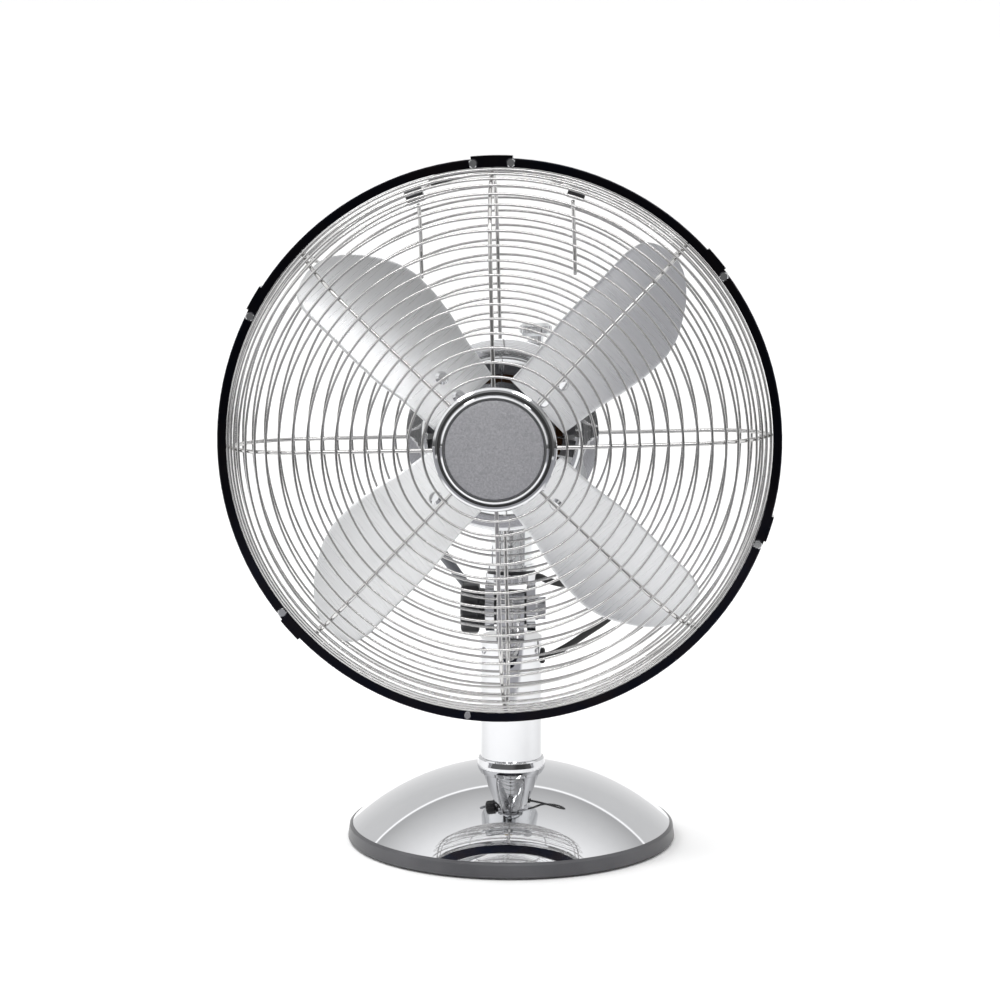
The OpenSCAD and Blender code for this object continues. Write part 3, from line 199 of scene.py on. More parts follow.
def noise_field(group, scale_from, detail, where=None, roughness=0.5):
    """A noise texture in a group, scaled by one of the group's inputs, in object space."""
    noise = group.nodes.new("ShaderNodeTexNoise")
    noise.inputs["Detail"].default_value = detail
    noise.inputs["Roughness"].default_value = roughness
    if where is None:
        where = group.nodes.new("ShaderNodeTexCoord").outputs["Object"]
    wire_up(group, [(where, noise.inputs["Vector"])])
    if scale_from is not None:
        wire_up(group, [(scale_from, noise.inputs["Scale"])])
    return noise


def between(group, factor, low, high, kind="FLOAT"):
    """Mixes two sockets or numbers of a group by a factor."""
    mix = group.nodes.new("ShaderNodeMix")
    mix.data_type = kind
    places = {"FLOAT": (2, 3, 0), "RGBA": (6, 7, 2)}[kind]
    for place, value in zip(places[:2], (low, high)):
        if isinstance(value, bpy.types.NodeSocket):
            wire_up(group, [(value, mix.inputs[place])])
        else:
            mix.inputs[place].default_value = value
    wire_up(group, [(factor, mix.inputs[0])])
    return mix.outputs[places[2]]


def spread(group, value, low, high):
    """Stretches the band low..high of a value to 0..1."""
    stretch = group.nodes.new("ShaderNodeMapRange")
    stretch.inputs["From Min"].default_value = low
    stretch.inputs["From Max"].default_value = high
    wire_up(group, [(value, stretch.inputs["Value"])])
    return stretch.outputs["Result"]


def times(group, value, factor, operation="MULTIPLY"):
    """One arithmetic step on two sockets or numbers of a group."""
    step = group.nodes.new("ShaderNodeMath")
    step.operation = operation
    for place, term in enumerate((value, factor)):
        if isinstance(term, bpy.types.NodeSocket):
            wire_up(group, [(term, step.inputs[place])])
        else:
            step.inputs[place].default_value = term
    return step.outputs[0]


moulded, given, result = effect_group("Moulded grain", [
    ("Light", "NodeSocketColor", (0.1, 0.1, 0.11, 1)), ("Dark", "NodeSocketColor", (0.05, 0.05, 0.05, 1)),
    ("Grain", "NodeSocketFloat", 900.0), ("Cloud", "NodeSocketFloat", 14.0),
    ("Sheen low", "NodeSocketFloat", 0.35), ("Sheen high", "NodeSocketFloat", 0.5)])
grain = noise_field(moulded, given.outputs["Grain"], 3).outputs["Fac"]
cloud = spread(moulded, noise_field(moulded, given.outputs["Cloud"], 4).outputs["Fac"], 0.35, 0.65)
wire_up(moulded, [
    (between(moulded, cloud, given.outputs["Dark"], given.outputs["Light"], "RGBA"), result.inputs["Colour"]),
    (between(moulded, times(moulded, times(moulded, grain, cloud, "ADD"), 0.5),
             given.outputs["Sheen low"], given.outputs["Sheen high"]), result.inputs["Roughness"]),
    (grain, result.inputs["Height"])])


def finish_with(name, group, values, bump=0.0002, metal=0.0, **fixed):
    """A material whose colour, roughness and relief come from one effect group."""
    made = bpy.data.materials.new(name)
    made.use_nodes = True
    tree = made.node_tree
    shader = tree.nodes["Principled BSDF"]
    effect = tree.nodes.new("ShaderNodeGroup")
    effect.node_tree = group
    for label, value in values.items():
        colour = effect.inputs[label].type == "RGBA"
        effect.inputs[label].default_value = (*value, 1) if colour else value
    relief = tree.nodes.new("ShaderNodeBump")
    relief.inputs["Distance"].default_value = bump
    relief.inputs["Strength"].default_value = 1.0
    wire_up(tree, [
        (effect.outputs["Colour"], shader.inputs["Base Color"]),
        (effect.outputs["Roughness"], shader.inputs["Roughness"]),
        (effect.outputs["Height"], relief.inputs["Height"]),
        (relief.outputs["Normal"], shader.inputs["Normal"])])
    shader.inputs["Metallic"].default_value = metal
    for label, value in fixed.items():
        shader.inputs[label.replace("_", " ")].default_value = value
    return made


def paint_facing_shade(material, stops):
    """Paints shade and light into a material's colour: multiplies it by a ramp, from faces seen square on (0)
    to edges (1).
    """
    nodes = material.node_tree.nodes
    colour = nodes["Principled BSDF"].inputs["Base Color"]
    turned_away = nodes.new("ShaderNodeLayerWeight")
    ramp = nodes.new("ShaderNodeValToRGB")
    shaded = nodes.new("ShaderNodeMix")
    shaded.data_type = "RGBA"
    shaded.blend_type = "MULTIPLY"
    shaded.inputs["Factor"].default_value = 1
    set_ramp(ramp.color_ramp, stops)
    wire_up(material.node_tree, [
        (turned_away.outputs["Facing"], ramp.inputs["Fac"]), (colour.links[0].from_socket, shaded.inputs[6]),
        (ramp.outputs["Color"], shaded.inputs[7]), (shaded.outputs[2], colour)])


def dress(material, *names):
    """Puts a material on CAD nodes."""
    for name in names:
        slots = frame["nodes"][name].material_slots
        for slot in slots:
            slot.material = material
        if not slots:
            frame["nodes"][name].data.materials.append(material)


ring_plastic = finish_with("ring_plastic", moulded, {
    "Light": (0.085, 0.085, 0.092), "Dark": (0.06, 0.06, 0.066), "Grain": 1300.0, "Cloud": 22.0,
    "Sheen low": 0.26, "Sheen high": 0.36}, bump=0.00004)
# Painted shade and highlight: the ring's colour is raised to 1.1 where seen square on and falls to 0.4 at the
# edges that turn away.
paint_facing_shade(ring_plastic, [(0, 1.1), (0.35, 1), (0.8, 0.5), (1, 0.4)])
black_rubber = finish_with("black_rubber", moulded, {
    "Light": (0.03, 0.03, 0.031), "Dark": (0.018, 0.018, 0.018), "Grain": 1700.0, "Cloud": 60.0,
    "Sheen low": 0.55, "Sheen high": 0.72}, bump=0.00005)
dress(ring_plastic, "base_ring")
dress(black_rubber, "foot_ring")

# ---- Base plate, weight and rod ----
# A zinc-plated plate closes the base, a painted iron casting weighs it down, and a
# threaded brass tube with two nuts clamps them and the column to the dome.
milled, given, result = effect_group("Turned grain", [
    ("Light", "NodeSocketColor", (0.7, 0.7, 0.72, 1)), ("Dark", "NodeSocketColor", (0.5, 0.5, 0.52, 1)),
    ("Stretch", "NodeSocketVector", (1.0, 1.0, 1.0)), ("Lines", "NodeSocketFloat", 2200.0),
    ("Cloud", "NodeSocketFloat", 40.0),
    ("Rough low", "NodeSocketFloat", 0.2), ("Rough high", "NodeSocketFloat", 0.4)])
squeeze = milled.nodes.new("ShaderNodeVectorMath")
squeeze.operation = "MULTIPLY"
wire_up(milled, [
    (milled.nodes.new("ShaderNodeTexCoord").outputs["Object"], squeeze.inputs[0]),
    (given.outputs["Stretch"], squeeze.inputs[1])])
lines = noise_field(milled, given.outputs["Lines"], 4, squeeze.outputs[0]).outputs["Fac"]
cloud = spread(milled, noise_field(milled, given.outputs["Cloud"], 4).outputs["Fac"], 0.3, 0.7)
wire_up(milled, [
    (between(milled, lines, given.outputs["Dark"], given.outputs["Light"], "RGBA"), result.inputs["Colour"]),
    (between(milled, times(milled, times(milled, lines, cloud, "ADD"), 0.5),
             given.outputs["Rough low"], given.outputs["Rough high"]), result.inputs["Roughness"]),
    (lines, result.inputs["Height"])])

plain_steel = finish_with("plain_steel", milled, {
    "Light": (0.62, 0.62, 0.63), "Dark": (0.5, 0.5, 0.52), "Stretch": (1, 1, 0.06), "Lines": 900.0,
    "Rough low": 0.16, "Rough high": 0.3}, bump=0.00002, metal=1)
cast_iron = finish_with("cast_iron", moulded, {
    "Light": (0.05, 0.05, 0.055), "Dark": (0.02, 0.02, 0.022), "Grain": 420.0, "Cloud": 35.0,
    "Sheen low": 0.5, "Sheen high": 0.8}, bump=0.0005)
turned_brass = finish_with("turned_brass", milled, {
    "Light": (0.72, 0.55, 0.26), "Dark": (0.55, 0.4, 0.17), "Stretch": (0.05, 0.05, 1), "Lines": 1400.0,
    "Rough low": 0.2, "Rough high": 0.38}, bump=0.00003, metal=1)
dress(plain_steel, "base_plate", "stand_screws", "rod_fittings")
dress(cast_iron, "base_weight")
dress(turned_brass, "centre_rod")

# ---- Chrome-plated stand ----
# The dome is spun from sheet steel, the column is tube, and the collar and the column
# head are castings. All are polished and plated, with slight waves under the plating.
plated, given, result = effect_group("Plating marks", [
    ("Bright", "NodeSocketColor", (0.7, 0.71, 0.72, 1)), ("Dull", "NodeSocketColor", (0.6, 0.61, 0.62, 1)),
    ("Waves", "NodeSocketFloat", 12.0), ("Specks", "NodeSocketFloat", 700.0),
    ("Haze low", "NodeSocketFloat", 0.03), ("Haze high", "NodeSocketFloat", 0.09)])
waves = noise_field(plated, given.outputs["Waves"], 1).outputs["Fac"]
speck_noise = noise_field(plated, given.outputs["Specks"], 5, roughness=0.7).outputs["Fac"]
specks = spread(plated, speck_noise, 0.5, 0.75)
smear_noise = noise_field(plated, given.outputs["Waves"], 6, roughness=0.75).outputs["Fac"]
smear = spread(plated, smear_noise, 0.35, 0.75)
wire_up(plated, [
    (between(plated, smear, given.outputs["Bright"], given.outputs["Dull"], "RGBA"), result.inputs["Colour"]),
    (between(plated, times(plated, times(plated, specks, smear, "ADD"), 0.5),
             given.outputs["Haze low"], given.outputs["Haze high"]), result.inputs["Roughness"]),
    (waves, result.inputs["Height"])])

chrome = finish_with("chrome", plated, {
    "Bright": (0.68, 0.685, 0.7), "Dull": (0.63, 0.635, 0.65), "Waves": 9.0,
    "Haze low": 0.025, "Haze high": 0.06}, bump=0.00006, metal=1)
# Painted shade: the chrome's colour is darkened by up to a sixth where its surface turns partly away from
# view, and less so at the very edges.
paint_facing_shade(chrome, [(0, 1), (0.3, 1), (0.62, 0.84), (0.82, 0.9), (1, 0.97)])
dress(chrome, "base_dome", "column_collar", "column_tube", "column_head")

# ---- Speed switch and cord gland ----
# A moulded rotary switch with a grip bar sits in the back of the dome, and a ribbed
# rubber gland comes through the back of the base ring.
black_plastic = finish_with("black_plastic", moulded, {
    "Light": (0.022, 0.022, 0.024), "Dark": (0.012, 0.012, 0.013), "Grain": 1500.0, "Cloud": 40.0,
    "Sheen low": 0.28, "Sheen high": 0.42}, bump=0.00004)
dress(black_plastic, "switch_body", "speed_knob")
dress(black_rubber, "cord_gland")

# ---- Motor lead ----
# A round rubber-sheathed lead leaves the column through a rubber grommet, loops out to
# the right and goes into the side of the tilting yoke.
MM = 0.001
joints = {joint["name"]: joint for joint in frame["joints"]}
pivot = Vector(joints["tilt"]["pos_m"]) / MM
neck_up = Vector(joints["oscillation"]["axis"])
column_r = 19
column_inner = 17.8
lead_r = 2.1
lead_exit_z = pivot.z - 30
yoke_half = 15.5
yoke_entry = pivot + neck_up * 19.5
lead_stops = [
    (0, 0, lead_exit_z - 42), (0, 0, lead_exit_z - 24), (0.5, 0, lead_exit_z - 12),
    (4, 0, lead_exit_z - 3.5), (column_inner - 5, 0, lead_exit_z), (column_r + 3, 0, lead_exit_z),
    (column_r + 13, 2, lead_exit_z + 4), (column_r + 28, 7, lead_exit_z + 13),
    (column_r + 42, 13, lead_exit_z + 22), (column_r + 50, 21, lead_exit_z + 31),
    (column_r + 46, 29, lead_exit_z + 38), (column_r + 34, 29, lead_exit_z + 41),
    (column_r + 21, 21, lead_exit_z + 41), (column_r + 12, 11, lead_exit_z + 43),
    (yoke_half + 7, yoke_entry.y + 3, yoke_entry.z - 3), (yoke_half + 1.5, yoke_entry.y, yoke_entry.z),
    (yoke_half - 6, yoke_entry.y, yoke_entry.z)]


def smooth_line(stops, steps=8):
    """Points on a smooth curve through the stops."""
    stops = [Vector(s) for s in stops]
    line = []
    for i in range(len(stops) - 1):
        a, b, c, d = stops[max(i - 1, 0)], stops[i], stops[i + 1], stops[min(i + 2, len(stops) - 1)]
        for k in range(steps):
            t = k / steps
            line.append(0.5 * (2 * b + (c - a) * t + (2 * a - 5 * b + 4 * c - d) * t * t
                               + (3 * b - a - 3 * c + d) * t ** 3))
    return line + [stops[-1]]


def round_wires(name, lines, radius, place, sides=14, swell=None):
    """One mesh of round wires, each along its own line in millimetres, with rounded ends."""
    mesh = bmesh.new()
    for line in lines:
        points = [Vector(p) for p in line]
        ways = [(points[min(i + 1, len(points) - 1)] - points[max(i - 1, 0)]).normalized()
                for i in range(len(points))]
        across = ways[0].orthogonal().normalized()
        loops = []
        tips = [(points[0] - ways[0] * radius * 0.35, ways[0], 0.62)]
        tips += [(p, w, 1) for p, w in zip(points, ways)]
        tips += [(points[-1] + ways[-1] * radius * 0.35, ways[-1], 0.62)]
        for i, (point, ahead, share) in enumerate(tips):
            across = (across - ahead * across.dot(ahead)).normalized()
            over = ahead.cross(across)
            r = radius * share * (swell(i / (len(tips) - 1)) if swell else 1)
            loops.append([mesh.verts.new(point + r * (math.cos(a) * across + math.sin(a) * over))
                          for a in (2 * math.pi * k / sides for k in range(sides))])
        for one, two in zip(loops, loops[1:]):
            for k in range(sides):
                mesh.faces.new((one[k], one[(k + 1) % sides], two[(k + 1) % sides], two[k]))
        mesh.faces.new(list(reversed(loops[0])))
        mesh.faces.new(loops[-1])
    data = bpy.data.meshes.new(name)
    for face in mesh.faces:
        face.smooth = len(face.verts) == 4
    mesh.to_mesh(data)
    data.transform(place)
    return add_object(name, data)


to_metres = Matrix.Scale(MM, 4)
lead = round_wires("motor_lead_sheath", [smooth_line(lead_stops)], lead_r, to_metres, 18)
lead.data.materials.append(black_rubber)
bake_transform(lead)
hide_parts("motor_lead")
dress(black_rubber, "lead_grommets")

# ---- Tilting yoke and post ----
# A chromed cast yoke swings on a plain steel bolt, with nylon-lined washers between it
# and the column head, and carries the steel post that the motor swings on.
dress(chrome, "tilt_yoke")
dress(plain_steel, "tilt_bolt", "pivot_post", "neck_fasteners")
dress(black_plastic, "neck_washers")

# ---- Tilt-lock knob and lever ----
# A fluted black moulding is threaded on the bolt, and a short grey lever is pressed into
# its rim so a hand can turn it hard.
knob_r = 16
knob_end = -yoke_half - 0.4
knob_long = 15
knob_flutes = 10
flute_depth = 2.1
neck_turn = Matrix.Rotation(-math.copysign(math.acos(neck_up.z), neck_up.y), 4, "X")
neck_place = to_metres @ Matrix.Translation(pivot) @ neck_turn


def turned(name, outline, place, sides=96, ripple=None):
    """A turned piece from radii and heights; ripple gives what is cut off the radius at each point."""
    mesh = bmesh.new()
    loops = []
    for radius, height in outline:
        loop = []
        for k in range(sides):
            a = 2 * math.pi * k / sides
            r = radius - (ripple(a, height, radius) if ripple else 0)
            loop.append(mesh.verts.new((r * math.cos(a), r * math.sin(a), height)))
        loops.append(loop)
    for one, two in zip(loops, loops[1:]):
        for k in range(sides):
            mesh.faces.new((one[k], one[(k + 1) % sides], two[(k + 1) % sides], two[k]))
    if outline[0] != outline[-1]:
        mesh.faces.new(list(reversed(loops[0])))
        mesh.faces.new(loops[-1])
    else:
        bmesh.ops.remove_doubles(mesh, verts=loops[0] + loops[-1], dist=1e-6)
    bmesh.ops.recalc_face_normals(mesh, faces=mesh.faces)
    for face in mesh.faces:
        face.smooth = True
    data = bpy.data.meshes.new(name)
    mesh.to_mesh(data)
    data.transform(place)
    data.set_sharp_from_angle(angle=math.radians(38))
    return add_object(name, data)


def knob_ripple(a, height, radius):
    """Scallops round the knob, fading out towards its hub."""
    wave = max(0.0, math.cos(knob_flutes * a)) ** 1.5
    return flute_depth * wave * min(1, max(0, (radius - 9) / 5))


knob_outline = [(3, 0.8), (8.8, 0.8), (9.6, 0.5), (10, 0.1), (11, 0), (knob_r - 2.6, 0),
                (knob_r - 1.2, 0.4), (knob_r - 0.4, 1.2), (knob_r, 2.4), (knob_r, knob_long - 5.4),
                (knob_r - 0.5, knob_long - 4.3), (knob_r - 1.6, knob_long - 3.7),
                (12.6, knob_long - 3.5), (12.1, knob_long - 3), (12, knob_long - 0.8),
                (11.4, knob_long - 0.1), (4.1, knob_long)]
knob_place = (neck_place @ Matrix.Rotation(math.radians(90), 4, "Y")
              @ Matrix.Translation((0, 0, knob_end - knob_long)))
knob = turned("fluted_lock_knob", knob_outline, knob_place, 160, knob_ripple)
knob.data.materials.append(black_plastic)
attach(knob, "tilt_lock")
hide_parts("tilt_knob")
grey_plastic = finish_with("grey_plastic", moulded, {
    "Light": (0.16, 0.165, 0.18), "Dark": (0.11, 0.115, 0.125), "Grain": 1400.0, "Cloud": 50.0,
    "Sheen low": 0.3, "Sheen high": 0.45}, bump=0.00004)
dress(grey_plastic, "knob_lever")

# ---- Motor housing ----
# The motor sits in a cast cradle between two deep-drawn shells: a slotted nose in front
# and a bullet-shaped cover behind, all polished and plated.
shell_chrome = finish_with("shell_chrome", plated, {
    "Bright": (0.7, 0.71, 0.72), "Dull": (0.64, 0.65, 0.66), "Waves": 14.0,
    "Haze low": 0.03, "Haze high": 0.08}, bump=0.00008, metal=1)
dress(shell_chrome, "motor_cradle", "front_shell", "rear_cover", "oscillation_knob")
dress(grey_plastic, "gear_case")

# ---- Motor works ----
# Stacked core plates, enamelled copper windings, brass bushes and worm, a nylon wheel
# and a ground steel shaft.
core_plates = finish_with("core_plates", milled, {
    "Light": (0.4, 0.4, 0.42), "Dark": (0.16, 0.16, 0.17), "Stretch": (0.05, 1, 0.1), "Lines": 1600.0,
    "Rough low": 0.35, "Rough high": 0.55}, bump=0.0001, metal=1)
copper_turns = finish_with("copper_turns", milled, {
    "Light": (0.09, 0.045, 0.025), "Dark": (0.03, 0.015, 0.008), "Stretch": (1, 0.3, 1), "Lines": 1100.0,
    "Rough low": 0.25, "Rough high": 0.45}, bump=0.0004, metal=1)
nylon = finish_with("nylon", moulded, {
    "Light": (0.75, 0.72, 0.63), "Dark": (0.68, 0.65, 0.55), "Grain": 700.0, "Cloud": 60.0,
    "Sheen low": 0.4, "Sheen high": 0.55}, bump=0.00003)
dress(core_plates, "stator_core", "rotor_core")
dress(copper_turns, "stator_windings")
dress(turned_brass, "motor_bushes", "worm")
dress(nylon, "worm_wheel")
dress(plain_steel, "motor_shaft")

# ---- Blades ----
# Four twisted and cambered blades pressed from sheet aluminium and brushed across,
# riveted to steel arms behind them.
shaft = Vector(joints["blade_spin"]["pos_m"])
forward = -Vector(joints["blade_spin"]["axis"])
fan_turn = Matrix((Vector((1, 0, 0)), neck_up, forward)).transposed().to_4x4()
fan_place = Matrix.Translation(shaft) @ fan_turn @ to_metres
blade_plane = 93
first_blade = 42.5
blade_root, blade_reach = 31, 152
pitch_root, pitch_tip = 31, 19
blade_camber = 2.6
blade_sheet = 1.2
trailing_edge = [(30, 22.5), (57, 25), (75, 28.8), (92, 30.3), (118, 31.7), (134, 33), (144, 31),
                 (149, 26), (152, 15)]
leading_edge = [(30, 22.5), (57, 25.2), (74, 28.6), (91, 30.4), (108, 29.8), (120, 26), (131, 19),
                (140, 12), (149, 1), (152, -9)]


def blade_point(u, w):
    """A point of the sheet's middle at u from the shaft and w across the blade."""
    share = (u - blade_root) / (blade_reach - blade_root)
    pitch = math.radians(pitch_root + (pitch_tip - pitch_root) * share)
    return Vector((u, w, w * math.tan(pitch) - blade_camber * (1 - (w / 31) ** 2)))


def edge_width(edge, u):
    """Half width at u, eased so that the outline has no corners between its stops."""
    stops = np.array(edge, float)
    reach = min(3.0, max(0.02, (blade_reach - u) * 0.6), max(0.02, (u - 30) * 0.9))
    return float(np.mean([np.interp(u + d * reach, stops[:, 0], stops[:, 1]) for d in (-1, -0.5, 0, 0.5, 1)]))


brushed, given, result = effect_group("Brushed across", [
    ("Light", "NodeSocketColor", (0.8, 0.8, 0.8, 1)), ("Dark", "NodeSocketColor", (0.6, 0.6, 0.6, 1)),
    ("Along", "NodeSocketFloat", 300.0), ("Across", "NodeSocketFloat", 4.0),
    ("Rough low", "NodeSocketFloat", 0.25), ("Rough high", "NodeSocketFloat", 0.45)])
map_node = brushed.nodes.new("ShaderNodeUVMap")
map_node.uv_map = "brush"
pair = brushed.nodes.new("ShaderNodeSeparateXYZ")
joined = brushed.nodes.new("ShaderNodeCombineXYZ")
wire_up(brushed, [
    (map_node.outputs["UV"], pair.inputs[0]),
    (times(brushed, pair.outputs["X"], given.outputs["Along"]), joined.inputs["X"]),
    (times(brushed, pair.outputs["Y"], given.outputs["Across"]), joined.inputs["Y"])])
streaks = noise_field(brushed, None, 5, joined.outputs[0], 0.65)
streaks.inputs["Scale"].default_value = 1.0
streak = spread(brushed, streaks.outputs["Fac"], 0.25, 0.75)
wire_up(brushed, [
    (between(brushed, streak, given.outputs["Dark"], given.outputs["Light"], "RGBA"),
     result.inputs["Colour"]),
    (between(brushed, streak, given.outputs["Rough low"], given.outputs["Rough high"]),
     result.inputs["Roughness"]),
    (streak, result.inputs["Height"])])
blade_aluminium = finish_with("blade_aluminium", brushed, {
    "Light": (0.72, 0.725, 0.735), "Dark": (0.6, 0.605, 0.615), "Along": 260.0, "Across": 3.0,
    "Rough low": 0.24, "Rough high": 0.36}, bump=0.00002, metal=1)

rows, columns = 72, 30
tip_gap = 0.4
for i in range(4):
    mesh = bmesh.new()
    brush = mesh.loops.layers.uv.new("brush")
    grid = []
    for a in range(rows + 1):
        u = blade_root + (blade_reach - tip_gap - blade_root) * (1 - (1 - a / rows) ** 1.6)
        low, high = -edge_width(leading_edge, u), edge_width(trailing_edge, u)
        grid.append([(mesh.verts.new(blade_point(u, low + (high - low) * b / columns)),
                      (u / 150, (low + (high - low) * b / columns) / 150)) for b in range(columns + 1)])
    for a in range(rows):
        for b in range(columns):
            corners = [grid[a][b], grid[a + 1][b], grid[a + 1][b + 1], grid[a][b + 1]]
            face = mesh.faces.new([v for v, _ in corners])
            face.smooth = True
            for loop, (_, spot) in zip(face.loops, corners):
                loop[brush].uv = spot
    data = bpy.data.meshes.new(f"blade_sheet_{i + 1}")
    mesh.to_mesh(data)
    data.transform(fan_place @ Matrix.Translation((0, 0, blade_plane))
                   @ Matrix.Rotation(math.radians(first_blade + 90 * i), 4, "Z"))
    blade = add_object(f"blade_sheet_{i + 1}", data)
    thick = blade.modifiers.new("sheet", "SOLIDIFY")
    thick.thickness = blade_sheet * MM
    thick.offset = 0
    rounded = blade.modifiers.new("edge", "BEVEL")
    rounded.width = 0.3 * MM
    rounded.segments = 2
    rounded.limit_method = "ANGLE"
    rounded.angle_limit = math.radians(50)
    blade.data.materials.append(blade_aluminium)
    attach(blade, "rotor")
    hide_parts(f"blade_{i + 1}")

# ---- Blade arms, hub and rivets ----
# The arms are pressed steel strips riveted to the blades and to the hub disc, and a
# domed chromed nut holds the hub on the shaft.
dress(plain_steel, "blade_arms", "blade_hub")
dress(chrome, "rotor_fasteners")

# ---- Wire guard ----
# Two baskets of plated steel wire: eight bent spokes each, welded to the rings and to
# the thick rim wires. The rear one has a plated plate in the middle and two stiffeners.
rim_mid = Vector(joints["clip_1_open"]["pos_m"]) - shaft
rim_ahead = rim_mid.dot(forward) / MM
guard_roll = math.atan2(rim_mid.dot(neck_up), rim_mid.x) - math.radians(35)
front_place = fan_place @ Matrix.Translation((0, 0, rim_ahead)) @ Matrix.Rotation(guard_roll, 4, "Z")
rear_place = front_place @ Matrix.Rotation(math.pi, 4, "X")
spoke_r = 1.25
wall_lean = math.radians(17.8)
wall_start = 162.53


class Basket:
    """The bent line of a guard spoke: leaning wall, rounded corner and shallow domed face."""

    def __init__(self, depth, corner, dome):
        self.corner, self.dome = corner, math.radians(dome)
        turn = math.pi / 2 - wall_lean - self.dome
        self.wall = depth / math.cos(wall_lean) - corner * math.tan(turn / 2)
        self.bend = corner * turn
        self.centre = (wall_start - self.wall * math.sin(wall_lean) - corner * math.cos(wall_lean),
                       self.wall * math.cos(wall_lean) - corner * math.sin(wall_lean))
        self.face_edge = self.centre[0] + corner * math.sin(self.dome)
        self.face_r = self.face_edge / math.sin(self.dome)
        self.face_z = self.centre[1] + (corner - self.face_r) * math.cos(self.dome)

    def depth_at(self, r):
        if r < self.face_edge:
            return self.face_z + math.sqrt(self.face_r ** 2 - r * r)
        return self.centre[1] + math.sqrt(self.corner ** 2 - (r - self.centre[0]) ** 2)

    def at(self, s):
        """Radius, depth and outward angle at the length s along the line."""
        if s < self.wall:
            return wall_start - s * math.sin(wall_lean), s * math.cos(wall_lean), wall_lean
        if s < self.wall + self.bend:
            a = wall_lean + (s - self.wall) / self.corner
            return self.centre[0] + self.corner * math.cos(a), self.centre[1] + self.corner * math.sin(a), a
        p = self.dome - (s - self.wall - self.bend) / self.face_r
        return self.face_r * math.sin(p), self.face_z + self.face_r * math.cos(p), math.pi / 2 - p

    def spoke(self, inner_r):
        """The points of one spoke from the rim to the radius inner_r."""
        length = self.wall + self.bend + self.face_r * (self.dome - math.asin(inner_r / self.face_r))
        lengths = [0.8 + (length - 0.8) * k / 44 for k in range(45)]
        return [(self.at(s)[0], 0, self.at(s)[1]) for s in lengths]


def turned_lines(line, count):
    """The line repeated evenly round the shaft."""
    turns = [Matrix.Rotation(2 * math.pi * k / count, 3, "Z") for k in range(count)]
    return [[turn @ Vector(p) for p in line] for turn in turns]


front_basket = Basket(53, 48, 5)
rear_basket = Basket(43, 38, 1)
stiffener_x = 46.5
rim_r = 169
stiffener_ys = [rim_r * (0.57 + 0.011 * k) for k in range(25)]
stiffeners = [[(x, -y, rear_basket.depth_at(math.hypot(x, y))) for y in stiffener_ys]
              for x in (-stiffener_x, stiffener_x)]
chrome_wire = finish_with("chrome_wire", plated, {
    "Bright": (0.66, 0.655, 0.65), "Dull": (0.5, 0.495, 0.49), "Waves": 30.0, "Specks": 1500.0,
    "Haze low": 0.03, "Haze high": 0.1}, bump=0.0001, metal=1)
front_spokes = round_wires("front_spokes", turned_lines(front_basket.spoke(22), 8), spoke_r, front_place)
rear_lines = turned_lines(rear_basket.spoke(56), 8) + stiffeners
rear_spokes = round_wires("rear_spokes", rear_lines, spoke_r, rear_place)
for spokes in (front_spokes, rear_spokes):
    spokes.data.materials.append(chrome_wire)
    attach(spokes, "head")
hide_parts("front_guard_spokes")
plate_in, plate_out = 48.8, 58.5
plate_low = rim_ahead - rear_basket.depth_at(plate_out) + spoke_r + 0.01
plate_high = plate_low + 1.4
hub_plate = turned("rear_hub_plate", [
    (plate_in, plate_low), (plate_out - 0.4, plate_low), (plate_out, plate_low + 0.3),
    (plate_out, plate_high - 0.3), (plate_out - 0.4, plate_high), (plate_in + 0.4, plate_high),
    (plate_in, plate_high - 0.4), (plate_in, plate_low)], fan_place, 128)
hub_plate.data.materials.append(chrome)
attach(hub_plate, "head")
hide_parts("rear_guard_spokes")
dress(chrome_wire, "front_guard_rings", "rear_guard_rings")

# ---- Badge ----
# A pressed chromed cup on a backing plate, with a blank satin disc set into its face and a
# line of black enamel laid round the foot of its bevel.
satin, given, result = effect_group("Satin blast", [
    ("Light", "NodeSocketColor", (0.5, 0.5, 0.5, 1)), ("Dark", "NodeSocketColor", (0.3, 0.3, 0.3, 1)),
    ("Pits", "NodeSocketFloat", 900.0),
    ("Rough low", "NodeSocketFloat", 0.35), ("Rough high", "NodeSocketFloat", 0.5)])
pits = noise_field(satin, given.outputs["Pits"], 6, roughness=0.8).outputs["Fac"]
pitting = spread(satin, pits, 0.3, 0.7)
wire_up(satin, [
    (between(satin, pitting, given.outputs["Dark"], given.outputs["Light"], "RGBA"), result.inputs["Colour"]),
    (between(satin, pitting, given.outputs["Rough low"], given.outputs["Rough high"]),
     result.inputs["Roughness"]),
    (pitting, result.inputs["Height"])])
badge_satin = finish_with("badge_satin", satin, {
    "Light": (0.6, 0.6, 0.62), "Dark": (0.34, 0.34, 0.36), "Pits": 800.0}, bump=0.0001, metal=0.9)
badge_r = 36.7
badge_ahead = front_basket.depth_at(22) + spoke_r - 0.06
disc_r = badge_r - 7.6
disc_ahead = badge_ahead + 5
disc = turned("badge_face", [
    (disc_r, 0), (disc_r, 0.45), (disc_r - 0.2, 0.62), (disc_r - 0.6, 0.68), (24, 0.85),
    (18, 1.1), (12, 1.2), (6, 1.28), (2, 1.3), (0.4, 1.3)],
    front_place @ Matrix.Translation((0, 0, disc_ahead)), 128)
disc.data.materials.append(badge_satin)
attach(disc, "head")
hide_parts("badge_disc")
line_in, line_out = badge_r - 4.25, badge_r - 3.05
groove = turned("badge_black_line", [
    (line_in, 1.15), (line_out, 1.15), (line_out + 0.05, 1.9), (badge_r - 3.6, 2.05),
    (line_in - 0.05, 1.9), (line_in, 1.15)], front_place @ Matrix.Translation((0, 0, badge_ahead)), 128)
groove.data.materials.append(black_rubber)
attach(groove, "head")
dress(chrome, "badge_cup")
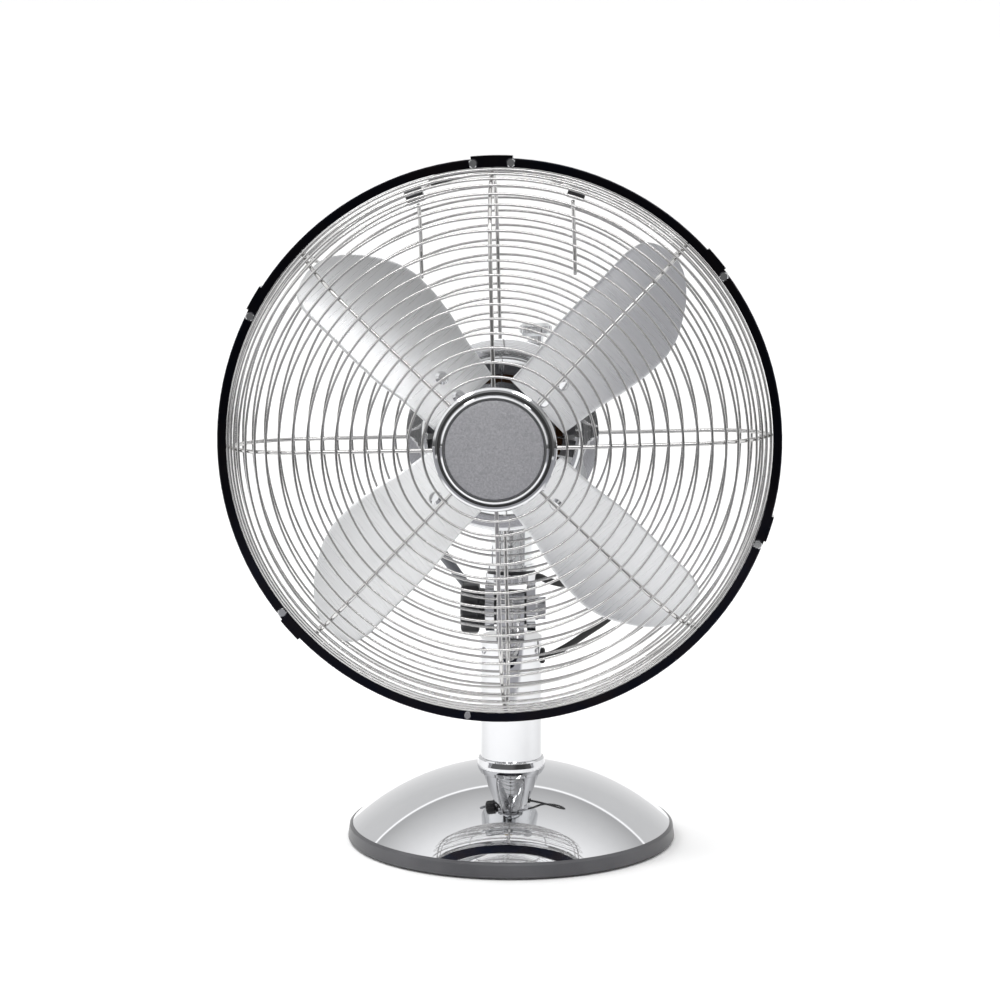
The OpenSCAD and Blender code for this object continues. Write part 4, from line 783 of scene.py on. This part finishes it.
dress(plain_steel, "badge_plate", "head_screws")

# ---- Rim band, clips and top bracket ----
# A rolled channel closes over both rim wires. It and its four swing clips are plated
# near-black, and the clip studs are bright.
black_chrome = finish_with("black_chrome", plated, {
    "Bright": (0.01, 0.013, 0.024), "Dull": (0.028, 0.022, 0.022), "Waves": 22.0, "Specks": 900.0,
    "Haze low": 0.05, "Haze high": 0.14}, bump=0.0001, metal=1)
dress(black_chrome, "rim_band", "rim_clip_1", "rim_clip_2", "rim_clip_3", "rim_clip_4", "top_bracket")
dress(chrome, "clip_studs")

# ---- Carry handle ----
# A plated wire arch behind the guard, held in two black sleeves on the rings, with a
# black moulded grip over its middle.
handle_wire_r = 2
sleeve_at = rear_basket.at(rear_basket.wall + rear_basket.corner * 0.42)
ring_off, ring_r = 1.99, 0.8
sleeve_r, sleeve_bite = 4.6, 0.5
sleeve_out = ring_off + ring_r + sleeve_r - sleeve_bite
sleeve_rad = sleeve_at[0] + sleeve_out * math.cos(sleeve_at[2])
sleeve_z = -sleeve_at[1] - sleeve_out * math.sin(sleeve_at[2])
handle_x = 49
handle_half = math.asin(handle_x / sleeve_rad)
handle_rise = 6
handle_back = 28
handle_shape = [(1, 0, 0), (1, 0, 0.25), (1, 0.05, 0.5), (0.97, 0.2, 0.72), (0.9, 0.45, 0.88),
                (0.79, 0.7, 0.97), (0.62, 0.9, 1), (0.42, 1, 1), (0.2, 1, 1), (0, 1, 1)]


def handle_point(share, rise, back, way):
    """A point of the handle's middle line, from shares of its half turn, rise and depth."""
    a = math.pi / 2 + way * handle_half * share
    r = sleeve_rad + handle_rise * rise
    return Vector((r * math.cos(a), r * math.sin(a), sleeve_z - handle_back * back))


handle_stops = [handle_point(*q, 1) for q in handle_shape]
handle_stops += [handle_point(*q, -1) for q in handle_shape[-2::-1]]
handle = round_wires("handle_wire", [smooth_line(handle_stops)], handle_wire_r, front_place, 18)
handle.data.materials.append(chrome_wire)
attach(handle, "head")
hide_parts("carry_handle")


def grip_swell(share):
    """The grip is a little fuller in the middle and has six shallow finger waves."""
    return 0.97 + 0.05 * math.sin(math.pi * share) - 0.02 * math.cos(12 * math.pi * share)


grip_wall = 1.65
grip = round_wires("handle_grip_sleeve", [smooth_line(handle_stops[5:-5])], handle_wire_r + grip_wall,
                   front_place, 24, grip_swell)
grip.data.materials.append(black_plastic)
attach(grip, "head")
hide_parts("handle_grip")
dress(black_plastic, "handle_sleeves")
